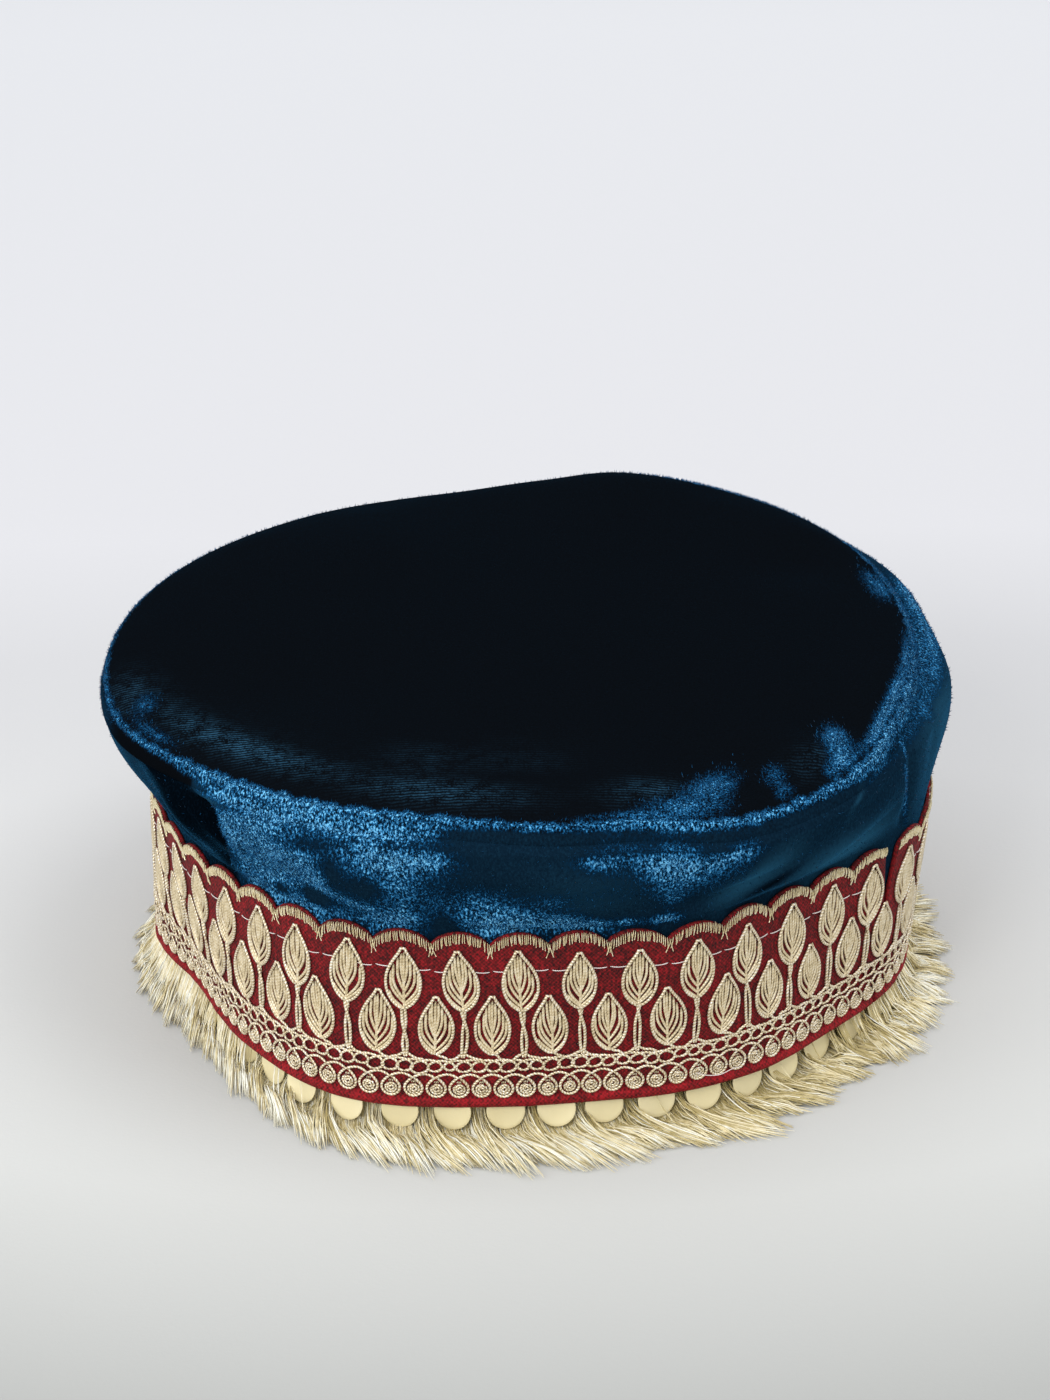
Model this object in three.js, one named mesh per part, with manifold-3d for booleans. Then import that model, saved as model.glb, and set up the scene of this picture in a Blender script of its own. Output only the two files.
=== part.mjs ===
// Kashmiri velvet cap, standing on its fringe.
//
// A soft round cap: a side wall and a flat tip of crushed velvet, an embroidered red trim with a
// scalloped top edge round the lower wall, a thread fringe behind the trim's hem, and rows of round
// spangles that hang in front of the fringe.
//
// Units are millimetres and +Z is up. The floor is z = 0 and the Z axis is the middle of the cap.
// An angle round the cap is in degrees: 0 is the front (-Y), 90 the right (+X), 180 the back and
// -90 the left.

import * as THREE from "three";
import { mergeVertices } from "three/addons/utils/BufferGeometryUtils.js";
import Module from "manifold-3d";

// ---- driving dimensions -------------------------------------------------------------------------
const HEM_Z = 8; // the trim's lower edge above the floor
const TRIM_HEIGHT = 45; // hem to scallop crest
const SCALLOP_DEPTH = 3; // crest to notch
const SCALLOPS = 44; // scallops, and so embroidery repeats, round the cap
const TRIM_CLOTH = 0.9; // thickness of the trim
const VELVET = 1.6; // thickness of the velvet with its backing
const GAP = 0.3; // air left between pieces that are sewn together
const JOIN_ANGLE = 59; // where the trim's two ends meet
const JOIN_HALF_GAP = 0.4; // degrees left open on each side of the join
const WALL_FOOT = 4; // how far above the hem the velvet wall starts, hidden behind the trim
const WALL_SEAM = { angle: 61.5, depth: 0.9, spread: 1.6 }; // the groove of the side wall's seam
const SPANGLE = { radius: 4.4, thick: 0.4, holeRadius: 0.55, holeUp: 1.9, drop: 1.7, lean: 12 };
const SPANGLE_ROWS = ["front", "right", "back", "left"];
const SPANGLES_IN_ROW = 12;
const FIRST_SPANGLE = -43; // angle of the front row's first spangle
const THREAD_SIDE = 0.6; // the spangles' sewing thread, as a square section
const THREAD_TRIM = 0.5; // degrees cut off each end of a row's thread
const SPANGLE_BITE = 0.12; // how deep a spangle sits in its thread

// How finely the faceted walls are divided.
const CROWN_STEPS = 96; // round the crown
const WALL_RISES = [0.22, 0.48, 0.74, 1]; // shares of the way up from the trim to the bulge
const STEPS_PER_SCALLOP = 5;
const TIP_RINGS = 6;
const FRINGE_STEPS = 72;
const SPANGLE_ARCS = 6; // three.js curve segments in each half of a spangle's edge
const HOLE_SIDES = 6;

// ---- shape tables -------------------------------------------------------------------------------
// Radius of the trim's outer face at its hem and at its scallops.
const TRIM_OUTLINE = [
  { angle: -150, hem: 91.5, top: 94 },
  { angle: -115, hem: 93, top: 94 },
  { angle: -98, hem: 94.5, top: 93.5 },
  { angle: -84, hem: 93, top: 92.6 },
  { angle: -68, hem: 87.2, top: 92 },
  { angle: -48, hem: 91.2, top: 92 },
  { angle: -28, hem: 95.8, top: 94.2 },
  { angle: -8, hem: 91.2, top: 91.9 },
  { angle: 7, hem: 89.4, top: 91.4 },
  { angle: 20, hem: 91, top: 94.8 },
  { angle: 34, hem: 91.6, top: 92.4 },
  { angle: 48, hem: 90.2, top: 93 },
  { angle: 66, hem: 92.3, top: 98 },
  { angle: 84, hem: 91, top: 95.6 },
  { angle: 115, hem: 91.5, top: 95 },
  { angle: 150, hem: 91.5, top: 94.5 },
  { angle: 180, hem: 91, top: 94 },
];
// The velvet above the trim: bulge is the wall's widest ring, rim its seam with the tip.
const CROWN_OUTLINE = [
  { angle: -168, bulge: 102, bulgeZ: 79.5, rim: 99, rimZ: 83.1 },
  { angle: -145, bulge: 102, bulgeZ: 78, rim: 99.6, rimZ: 83.5 },
  { angle: -115, bulge: 103, bulgeZ: 78, rim: 101, rimZ: 82.9 },
  { angle: -90, bulge: 103.7, bulgeZ: 76.5, rim: 101.8, rimZ: 81.4 },
  { angle: -70, bulge: 103.6, bulgeZ: 75, rim: 102, rimZ: 80 },
  { angle: -50, bulge: 101, bulgeZ: 75, rim: 98.3, rimZ: 81 },
  { angle: -30, bulge: 99.5, bulgeZ: 76, rim: 97, rimZ: 82 },
  { angle: -12, bulge: 98.5, bulgeZ: 76, rim: 96, rimZ: 82.8 },
  { angle: 3, bulge: 99.5, bulgeZ: 76, rim: 96.8, rimZ: 81.9 },
  { angle: 14, bulge: 99.5, bulgeZ: 75, rim: 96.5, rimZ: 81.2 },
  { angle: 26, bulge: 102.5, bulgeZ: 73, rim: 100.2, rimZ: 79 },
  { angle: 45, bulge: 102, bulgeZ: 73, rim: 99.5, rimZ: 79.5 },
  { angle: 62, bulge: 99.5, bulgeZ: 73, rim: 94, rimZ: 81 },
  { angle: 82, bulge: 99, bulgeZ: 74, rim: 91.2, rimZ: 81.6 },
  { angle: 102, bulge: 100.3, bulgeZ: 76, rim: 92.5, rimZ: 82.2 },
  { angle: 124, bulge: 104.8, bulgeZ: 78.5, rim: 97, rimZ: 84 },
  { angle: 146, bulge: 105, bulgeZ: 80, rim: 101.2, rimZ: 85.6 },
  { angle: 166, bulge: 104, bulgeZ: 81, rim: 101.2, rimZ: 87.5 },
  { angle: 178, bulge: 103, bulgeZ: 80.5, rim: 100, rimZ: 85 },
];
// Folds of the side wall: a soft swelling where depth > 0, a hollow where depth < 0. spread is in
// degrees, tall in mm, and slant is how far the fold climbs in mm for each degree round the cap.
const WALL_FOLDS = [
  { angle: -66, height: 66, spread: 8, tall: 14, slant: -0.7, depth: -3.6 },
  { angle: -53, height: 66, spread: 4.5, tall: 13, slant: -1, depth: 2.6 },
  { angle: -38, height: 61, spread: 7, tall: 7, slant: 0.3, depth: -2.2 },
  { angle: -25, height: 67, spread: 9, tall: 8, slant: 0, depth: 1.8 },
  { angle: -8, height: 62, spread: 8, tall: 5, slant: 0.2, depth: -1.4 },
  { angle: 8, height: 68, spread: 12, tall: 5, slant: 0, depth: 1.2 },
  { angle: 24, height: 60, spread: 9, tall: 5, slant: 0.2, depth: -1.6 },
  { angle: 44, height: 63, spread: 13, tall: 4, slant: 0.55, depth: 1.6 },
  { angle: 52, height: 70, spread: 12, tall: 6, slant: 0.3, depth: -1.8 },
  { angle: 84, height: 68, spread: 8, tall: 12, slant: 0, depth: 1.5 },
  { angle: 108, height: 64, spread: 9, tall: 9, slant: -0.4, depth: -2.2 },
  { angle: 138, height: 66, spread: 12, tall: 8, slant: 0.3, depth: 1.8 },
  { angle: 166, height: 63, spread: 10, tall: 8, slant: 0, depth: -2 },
  { angle: -162, height: 66, spread: 11, tall: 9, slant: 0.3, depth: 1.6 },
  { angle: -134, height: 64, spread: 9, tall: 8, slant: -0.3, depth: -2.2 },
  { angle: -108, height: 67, spread: 9, tall: 10, slant: 0.2, depth: 1.8 },
];
// Soft rises and hollows of the tip, each round one point at an angle and a radius.
const TIP_FOLDS = [
  { angle: -140, radius: 70, size: 24, height: 1.2 },
  { angle: -60, radius: 62, size: 22, height: -1.4 },
  { angle: -5, radius: 60, size: 26, height: -1.2 },
  { angle: 30, radius: 88, size: 8, height: -1.4 },
  { angle: 44, radius: 86, size: 7, height: 1.2 },
  { angle: 54, radius: 86, size: 7, height: -1.6 },
  { angle: 120, radius: 78, size: 14, height: -1.8 },
];
const FOLDS_START = 0.3; // share of the way up to the bulge by which the folds have their full depth
const TIP_MIDDLE_Z = 84.5; // height of the tip's middle, before it swells
const TIP_PUFF = 2.2; // how far the tip swells over the seam round it
const PUFF_POWER = 24; // how close to the seam the swelling keeps its height
const FOLD_POWER = 12; // how close to the seam the tip's folds keep theirs
// How far the fringe lies out from the hem on the floor.
const FRINGE_SPREAD = [
  { angle: -135, spread: 14 },
  { angle: -90, spread: 9 },
  { angle: -70, spread: 11.5 },
  { angle: -45, spread: 15 },
  { angle: 0, spread: 17.5 },
  { angle: 45, spread: 17 },
  { angle: 75, spread: 15 },
  { angle: 95, spread: 13 },
  { angle: 135, spread: 14 },
  { angle: 180, spread: 15 },
];

// ---- finishes -----------------------------------------------------------------------------------
const finish = (color, roughness, metalness = 0) =>
  new THREE.MeshStandardMaterial({ color, roughness, metalness });
const TIP_VELVET = finish("#08101a", 0.9);
const SIDE_VELVET = finish("#14506f", 0.8);
const RED_LACE = finish("#8f1722", 0.85);
const ZARI_THREAD = finish("#d9cd98", 0.45, 0.3);
const SPANGLE_FOIL = finish("#d3c592", 0.4, 0.2);

// ---- maths --------------------------------------------------------------------------------------
const radians = THREE.MathUtils.degToRad;
const { lerp, smoothstep, euclideanModulo } = THREE.MathUtils;
const bell = (x) => Math.exp(-x * x);
const ORIGIN = new THREE.Vector2();
const turnBetween = (a, b) => euclideanModulo(a - b + 180, 360) - 180;

/** A point at an angle round the cap, a distance from its axis and a height. */
function at(angle, radius, z) {
  const a = radians(angle);
  return new THREE.Vector3(radius * Math.sin(a), -radius * Math.cos(a), z);
}

/** A smooth closed curve through one column of a table whose rows go round the cap. */
function around(rows, column) {
  const row = (i) => rows[euclideanModulo(i, rows.length)];
  const angleOf = (i) => row(i).angle + 360 * Math.floor(i / rows.length);
  const slopeOf = (i) => (row(i + 1)[column] - row(i - 1)[column]) / (angleOf(i + 1) - angleOf(i - 1));
  return (angle) => {
    const turned = rows[0].angle + euclideanModulo(angle - rows[0].angle, 360);
    let i = rows.length - 1;
    while (angleOf(i) > turned) i -= 1;
    const width = angleOf(i + 1) - angleOf(i);
    const t = (turned - angleOf(i)) / width;
    const rest = 1 - t;
    const start = row(i)[column] * (1 + 2 * t) * rest * rest;
    const end = row(i + 1)[column] * (3 - 2 * t) * t * t;
    return start + end + width * t * rest * (slopeOf(i) * rest - slopeOf(i + 1) * t);
  };
}

const hemRadius = around(TRIM_OUTLINE, "hem");
const topRadius = around(TRIM_OUTLINE, "top");
const bulgeRadius = around(CROWN_OUTLINE, "bulge");
const bulgeHeight = around(CROWN_OUTLINE, "bulgeZ");
const rimRadius = around(CROWN_OUTLINE, "rim");
const rimHeight = around(CROWN_OUTLINE, "rimZ");
const fringeSpread = around(FRINGE_SPREAD, "spread");

// ---- solids from faces --------------------------------------------------------------------------
/** A closed geometry from shared points and triangles that all face out. */
function solidGeometry(points, triangles) {
  const geometry = new THREE.BufferGeometry();
  geometry.setAttribute("position", new THREE.Float32BufferAttribute(points.flatMap((p) => p.toArray()), 3));
  geometry.setIndex(triangles.flat());
  geometry.computeVertexNormals();
  return geometry;
}

/**
 * A wall of cloth that runs round the cap, closed on itself or open at a join. section(angle)
 * gives its two faces there, outer and inner, each a list of points from the foot to the top.
 */
function wallGeometry(angles, closed, section) {
  const points = [];
  const triangles = [];
  let levels = 0;
  for (const angle of angles) {
    const { outer, inner } = section(angle);
    levels = outer.length;
    points.push(...outer, ...inner);
  }
  const index = (step, face, level) => ((step % angles.length) * 2 + face) * levels + level;
  const quad = (a, b, c, d) => triangles.push([a, b, c], [a, c, d]);
  const strips = closed ? angles.length : angles.length - 1;
  for (let i = 0; i < strips; i += 1) {
    for (let k = 0; k < levels - 1; k += 1) {
      quad(index(i, 0, k), index(i + 1, 0, k), index(i + 1, 0, k + 1), index(i, 0, k + 1));
      quad(index(i, 1, k), index(i, 1, k + 1), index(i + 1, 1, k + 1), index(i + 1, 1, k));
    }
    const top = levels - 1;
    quad(index(i, 0, 0), index(i, 1, 0), index(i + 1, 1, 0), index(i + 1, 0, 0));
    quad(index(i, 0, top), index(i + 1, 0, top), index(i + 1, 1, top), index(i, 1, top));
  }
  if (!closed) {
    const last = angles.length - 1;
    for (let k = 0; k < levels - 1; k += 1) {
      quad(index(0, 0, k), index(0, 0, k + 1), index(0, 1, k + 1), index(0, 1, k));
      quad(index(last, 0, k), index(last, 1, k), index(last, 1, k + 1), index(last, 0, k + 1));
    }
  }
  return solidGeometry(points, triangles);
}

const evenAngles = (count) => Array.from({ length: count }, (_, i) => (360 * i) / count);

// ---- crown --------------------------------------------------------------------------------------
/** Radius of the trim's outer face at a height, a straight line from its hem to its scallops. */
function trimRadius(angle, z) {
  return lerp(hemRadius(angle), topRadius(angle), (z - HEM_Z) / TRIM_HEIGHT);
}

/** How far the side wall's folds push it out at an angle and a height. */
function wallFold(angle, z) {
  let push = 0;
  for (const fold of WALL_FOLDS) {
    const turn = turnBetween(angle, fold.angle);
    const climb = z - fold.height - fold.slant * turn;
    push += fold.depth * bell(turn / fold.spread) * bell(climb / fold.tall);
  }
  return push - WALL_SEAM.depth * bell(turnBetween(angle, WALL_SEAM.angle) / WALL_SEAM.spread);
}

/** The side wall's outer face at one angle, from behind the trim up to the seam with the tip. */
function sideFace(angle) {
  const flareZ = HEM_Z + TRIM_HEIGHT + GAP;
  const behindTrim = (z) => trimRadius(angle, z) - TRIM_CLOTH - GAP;
  const hidden = [HEM_Z + WALL_FOOT, HEM_Z + TRIM_HEIGHT / 2, flareZ];
  const face = hidden.map((z) => at(angle, behindTrim(z), z));
  const bulgeZ = bulgeHeight(angle);
  for (const rise of WALL_RISES) {
    const z = lerp(flareZ, bulgeZ, rise);
    const swell = Math.sin((rise * Math.PI) / 2);
    const folded = wallFold(angle, z) * smoothstep(rise, 0, FOLDS_START);
    face.push(at(angle, lerp(behindTrim(flareZ), bulgeRadius(angle), swell) + folded, z));
  }
  face.push(at(angle, rimRadius(angle), rimHeight(angle) - VELVET - GAP));
  return face;
}

/** The same face moved in by the velvet's thickness: square to the wall, but level at its edges. */
function insideOf(face, angle) {
  const out = at(angle, 1, 0);
  const last = face.length - 1;
  return face.map((point, k) => {
    const along = face[Math.min(k + 1, last)].clone().sub(face[Math.max(k - 1, 0)]).normalize();
    if (k === 0 || k === last) return point.clone().addScaledVector(out, -VELVET / along.z);
    return point.clone().addScaledVector(out, -VELVET * along.z).add(at(angle, 0, VELVET * along.dot(out)));
  });
}

function crownSide() {
  return wallGeometry(evenAngles(CROWN_STEPS), true, (angle) => {
    const outer = sideFace(angle);
    return { outer, inner: insideOf(outer, angle) };
  });
}

/** Height of the tip's upper face at an angle and a share of the way out to the rim. */
function tipHeight(angle, share) {
  const edge = rimHeight(angle);
  const spot = at(angle, rimRadius(angle) * share, 0);
  const away = (fold) => spot.distanceTo(at(fold.angle, fold.radius, 0)) / fold.size;
  let folded = 0;
  for (const fold of TIP_FOLDS) folded += fold.height * bell(away(fold)) * (1 - share ** FOLD_POWER);
  const dome = (TIP_MIDDLE_Z - edge) * (1 - share * share);
  return edge + dome + TIP_PUFF * (1 - share ** PUFF_POWER) + folded;
}

/** The tip: a disc of velvet with an upper and a lower face, joined round its edge. */
function crownTip() {
  const angles = evenAngles(CROWN_STEPS);
  const points = [];
  const triangles = [];
  for (const drop of [0, VELVET]) {
    points.push(new THREE.Vector3(0, 0, tipHeight(0, 0) - drop));
    for (let ring = 1; ring <= TIP_RINGS; ring += 1) {
      const share = Math.sin((ring / TIP_RINGS) * (Math.PI / 2));
      points.push(...angles.map((a) => at(a, rimRadius(a) * share, tipHeight(a, share) - drop)));
    }
  }
  const faceSize = 1 + TIP_RINGS * CROWN_STEPS;
  const index = (face, ring, i) => face * faceSize + 1 + (ring - 1) * CROWN_STEPS + (i % CROWN_STEPS);
  for (let i = 0; i < CROWN_STEPS; i += 1) {
    triangles.push([0, index(0, 1, i), index(0, 1, i + 1)]);
    triangles.push([faceSize, index(1, 1, i + 1), index(1, 1, i)]);
    for (let ring = 1; ring < TIP_RINGS; ring += 1) {
      for (const face of [0, 1]) {
        const near = [index(face, ring, i), index(face, ring, i + 1)];
        const far = [index(face, ring + 1, i), index(face, ring + 1, i + 1)];
        if (face === 0) triangles.push([near[0], far[0], far[1]], [near[0], far[1], near[1]]);
        else triangles.push([near[0], far[1], far[0]], [near[0], near[1], far[1]]);
      }
    }
    const upper = [index(0, TIP_RINGS, i), index(0, TIP_RINGS, i + 1)];
    const lower = [index(1, TIP_RINGS, i), index(1, TIP_RINGS, i + 1)];
    triangles.push([upper[0], lower[0], lower[1]], [upper[0], lower[1], upper[1]]);
  }
  return solidGeometry(points, triangles);
}

// ---- trim ---------------------------------------------------------------------------------------
/** Height of the scalloped edge: round lobes that meet in notches. */
function scallopEdge(angle) {
  const across = euclideanModulo((angle - JOIN_ANGLE) * (SCALLOPS / 360), 1);
  const lobe = Math.sqrt(1 - (2 * across - 1) ** 2);
  return HEM_Z + TRIM_HEIGHT - SCALLOP_DEPTH * (1 - lobe);
}

function trimBand() {
  const steps = SCALLOPS * STEPS_PER_SCALLOP;
  const start = JOIN_ANGLE + JOIN_HALF_GAP;
  const turn = 360 - 2 * JOIN_HALF_GAP;
  const angles = Array.from({ length: steps + 1 }, (_, i) => start + (turn * i) / steps);
  return wallGeometry(angles, false, (angle) => {
    const heights = [HEM_Z, HEM_Z + TRIM_HEIGHT / 2, scallopEdge(angle)];
    return {
      outer: heights.map((z) => at(angle, trimRadius(angle, z), z)),
      inner: heights.map((z) => at(angle, trimRadius(angle, z) - TRIM_CLOTH, z)),
    };
  });
}

// ---- fringe -------------------------------------------------------------------------------------
// The fringe's outer form at one angle. out is measured from the hem's outer face; reach is the
// share of the fringe's spread added to it.
const FRINGE_FACE = [
  { out: -3.6, reach: 0, z: 11.4 },
  { out: -3.3, reach: 0, z: 7 },
  { out: -2.1, reach: 0, z: 2.4 },
  { out: -0.8, reach: 0, z: 1.3 },
  { out: 0, reach: 0.55, z: 2.2 },
  { out: 0, reach: 1, z: 0.8 },
];
const FRINGE_BACK = [
  { out: -5, reach: 0, z: 11.4 },
  { out: -5.2, reach: 0, z: 8 },
  { out: -5.6, reach: 0, z: 3 },
  { out: -5, reach: 0, z: 0 },
  { out: 0, reach: 0.3, z: 0 },
  { out: 0, reach: 1, z: 0 },
];

function fringeBody() {
  return wallGeometry(evenAngles(FRINGE_STEPS), true, (angle) => {
    const reachOf = (row) => hemRadius(angle) + row.out + row.reach * fringeSpread(angle);
    const place = (row) => at(angle, reachOf(row), row.z);
    return { outer: FRINGE_FACE.map(place).reverse(), inner: FRINGE_BACK.map(place).reverse() };
  });
}

// ---- spangles -----------------------------------------------------------------------------------
const wasm = await Module();
wasm.setup();

/** A manifold solid from a closed three.js geometry. */
function toSolid(geometry) {
  const bare = geometry.clone().deleteAttribute("normal").deleteAttribute("uv");
  const merged = mergeVertices(bare, 1e-4);
  const mesh = new wasm.Mesh({
    numProp: 3,
    vertProperties: new Float32Array(merged.attributes.position.array),
    triVerts: new Uint32Array(merged.index.array),
  });
  return new wasm.Manifold(mesh);
}

/** A three.js geometry from a manifold solid. */
function fromSolid(solid) {
  const { vertProperties, triVerts } = solid.getMesh();
  const geometry = new THREE.BufferGeometry();
  geometry.setAttribute("position", new THREE.Float32BufferAttribute(vertProperties, 3));
  geometry.setIndex(Array.from(triVerts));
  geometry.computeVertexNormals();
  return geometry;
}

/** One flat spangle: facing +Z, its sewing hole at the origin and its middle below it. */
function spangleDisc() {
  const outline = new THREE.Shape().absarc(0, -SPANGLE.holeUp, SPANGLE.radius, 0, 2 * Math.PI, false);
  const turn = (i) => (-2 * Math.PI * i) / HOLE_SIDES;
  const corner = (_, i) => new THREE.Vector2(0, SPANGLE.holeRadius).rotateAround(ORIGIN, turn(i));
  outline.holes.push(new THREE.Path(Array.from({ length: HOLE_SIDES }, corner)));
  const settings = { depth: SPANGLE.thick, bevelEnabled: false, curveSegments: SPANGLE_ARCS };
  return new THREE.ExtrudeGeometry(outline, settings);
}

/** A row of spangles on the thread that sews them behind the hem. */
function spangleRow(rowNumber) {
  const pitch = 360 / (SPANGLE_ROWS.length * SPANGLES_IN_ROW);
  const first = FIRST_SPANGLE + (rowNumber * SPANGLES_IN_ROW - 0.5) * pitch;
  const threadZ = HEM_Z - SPANGLE.drop + SPANGLE.holeUp;
  const behind = TRIM_CLOTH + 2 * GAP + SPANGLE.thick;
  const knot = (angle, inwards, rise) => at(angle, hemRadius(angle) - behind - inwards, threadZ + rise);
  const knots = Array.from({ length: SPANGLES_IN_ROW + 1 }, (_, i) => first + pitch * i);
  knots[0] += THREAD_TRIM;
  knots[SPANGLES_IN_ROW] -= THREAD_TRIM;
  const half = THREAD_SIDE / 2;
  const thread = wallGeometry(knots, false, (angle) => ({
    outer: [knot(angle, 0, -half), knot(angle, 0, half)],
    inner: [knot(angle, THREAD_SIDE, -half), knot(angle, THREAD_SIDE, half)],
  }));
  const up = new THREE.Vector3(0, 0, 1);
  const lean = new THREE.Matrix4().makeRotationX(radians(-SPANGLE.lean));
  let row = toSolid(thread);
  for (let i = 0; i < SPANGLES_IN_ROW; i += 1) {
    const along = knot(knots[i + 1], 0, 0).sub(knot(knots[i], 0, 0)).normalize();
    const place = new THREE.Matrix4().makeBasis(along, up, along.clone().cross(up));
    place.setPosition(knot(knots[i], SPANGLE_BITE, 0).lerp(knot(knots[i + 1], SPANGLE_BITE, 0), 0.5));
    row = row.add(toSolid(spangleDisc().applyMatrix4(place.multiply(lean))));
  }
  return fromSolid(row);
}

// ---- the cap ------------------------------------------------------------------------------------
const group = new THREE.Group();

function addPiece(name, geometry, material) {
  const mesh = new THREE.Mesh(geometry, material);
  mesh.name = name;
  group.add(mesh);
}

addPiece("crown_tip", crownTip(), TIP_VELVET);
addPiece("crown_side", crownSide(), SIDE_VELVET);
addPiece("trim_band", trimBand(), RED_LACE);
addPiece("fringe", fringeBody(), ZARI_THREAD);
SPANGLE_ROWS.forEach((side, i) => addPiece(`spangles_${side}`, spangleRow(i), SPANGLE_FOIL));

export default group;
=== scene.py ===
"""Kashmiri velvet cap, standing on its thread fringe.

The cap is a soft round one: a side wall and a flat tip of crushed velvet, a red woven trim round
the lower wall with zari leaves couched on it and a satin-stitched scalloped edge, a thread fringe
behind the trim's hem, and flat round spangles that hang between the trim and the fringe.

Shapes are worked out in millimetres and turned to metres when a mesh is made. An angle round the
cap is in degrees: 0 is the front (-Y), 90 the right (+X), 180 the back and -90 the left.
"""

from __future__ import annotations

import logging
import math
from abc import ABC, abstractmethod
from collections.abc import Iterable, Sequence
from dataclasses import dataclass, field
from enum import Enum

import bpy
import numpy as np
from mathutils import Euler, Matrix, Vector

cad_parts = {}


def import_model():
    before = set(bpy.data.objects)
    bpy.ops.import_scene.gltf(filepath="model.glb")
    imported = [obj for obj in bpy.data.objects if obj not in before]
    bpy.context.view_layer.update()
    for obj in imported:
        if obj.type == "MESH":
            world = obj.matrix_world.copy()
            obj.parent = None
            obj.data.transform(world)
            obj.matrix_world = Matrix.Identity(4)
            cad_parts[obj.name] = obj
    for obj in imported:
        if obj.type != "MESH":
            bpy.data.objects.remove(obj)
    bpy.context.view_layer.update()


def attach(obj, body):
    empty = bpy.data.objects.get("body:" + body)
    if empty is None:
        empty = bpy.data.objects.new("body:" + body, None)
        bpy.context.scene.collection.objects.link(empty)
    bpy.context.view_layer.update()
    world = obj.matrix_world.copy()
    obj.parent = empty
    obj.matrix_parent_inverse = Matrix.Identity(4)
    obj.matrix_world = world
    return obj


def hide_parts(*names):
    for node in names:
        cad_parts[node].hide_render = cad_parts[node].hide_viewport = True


LOG = logging.getLogger("velvet_cap")
MM = 0.001

Points = np.ndarray
Random = np.random.Generator
Piece = bpy.types.Object
Tree = bpy.types.NodeTree
Node = bpy.types.Node
Socket = bpy.types.NodeSocket
Stop = tuple[float, str]
Feed = float | tuple | Socket | Node
Inputs = dict[str | int, Feed] | Sequence[Feed]


class Side(Enum):
    """A quarter of the cap, in the order in which the spangles and the fringe go round."""

    FRONT = "front"
    RIGHT = "right"
    BACK = "back"
    LEFT = "left"


# ---- small maths ---------------------------------------------------------------------------------


def bell(x: Points) -> Points:
    """Return a smooth bump that is 1 at x = 0 and fades out by x = 2."""
    return np.exp(-np.square(x))


def turn_between(a: Points, b: float) -> Points:
    """Return the turn from angle b to angle a in degrees, from -180 to 180."""
    return np.mod(a - b + 180.0, 360.0) - 180.0


def ease(x: Points, low: float, high: float) -> Points:
    """Return 0 below low, 1 above high and a smooth step between them."""
    t = np.clip((np.asarray(x, float) - low) / (high - low), 0.0, 1.0)
    return t * t * (3.0 - 2.0 * t)


def flicker(angle: Points) -> Points:
    """Make an uneven value that changes every few degrees round the cap.

    Args:
        angle: Degrees round the cap.

    Returns:
        The value there, 0 to 1.
    """
    a = np.radians(angle)
    waves = np.sin(61 * a + 1.3) + np.sin(97 * a + 4.1) + 0.8 * np.sin(143 * a + 0.6) + 0.6 * np.sin(211 * a)
    return np.clip(0.5 + 0.2 * waves, 0.0, 1.0)


def place(angle: Points, radius: Points, z: Points) -> Points:
    """Return points at an angle round the cap, a distance from its axis and a height.

    Args:
        angle: Degrees round the cap.
        radius: Millimetres from the axis.
        z: Millimetres above the floor.

    Returns:
        An array whose last axis holds x, y and z in millimetres.
    """
    angle, radius, z = np.broadcast_arrays(*(np.asarray(v, float) for v in (angle, radius, z)))
    a = np.radians(angle)
    return np.stack([radius * np.sin(a), -radius * np.cos(a), z], axis=-1)


def unit(vectors: Points) -> Points:
    """Return vectors at length 1 along their last axis."""
    length = np.linalg.norm(vectors, axis=-1, keepdims=True)
    return vectors / np.maximum(length, 1e-9)


class RingCurve:
    """A smooth closed curve of one value round the cap."""

    def __init__(self, rows: Sequence[Sequence[float]], column: int) -> None:
        """Take the knots of one curve.

        Args:
            rows: Rows that start with an ascending angle.
            column: Which of their values is the curve's.
        """
        angles, values = (np.array([row[k] for row in rows], float) for k in (0, column))
        # Two more knots at each end carry the curve round.
        self.angles = np.concatenate([angles[-2:] - 360.0, angles, angles[:2] + 360.0])
        self.values = np.concatenate([values[-2:], values, values[:2]])
        self.slopes = (self.values[2:] - self.values[:-2]) / (self.angles[2:] - self.angles[:-2])

    def __call__(self, angle: Points) -> Points:
        """Read the curve.

        Args:
            angle: Degrees round the cap.

        Returns:
            The curve's value there.
        """
        own = self.angles[2:-2]
        turned = own[0] + np.mod(np.asarray(angle, float) - own[0], 360.0)
        i = np.searchsorted(own, turned, side="right") + 1
        width = self.angles[i + 1] - self.angles[i]
        t = (turned - self.angles[i]) / width
        rest = 1.0 - t
        ends = self.values[i] * (1 + 2 * t) * rest * rest + self.values[i + 1] * (3 - 2 * t) * t * t
        return ends + width * t * rest * (self.slopes[i - 1] * rest - self.slopes[i] * t)


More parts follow.
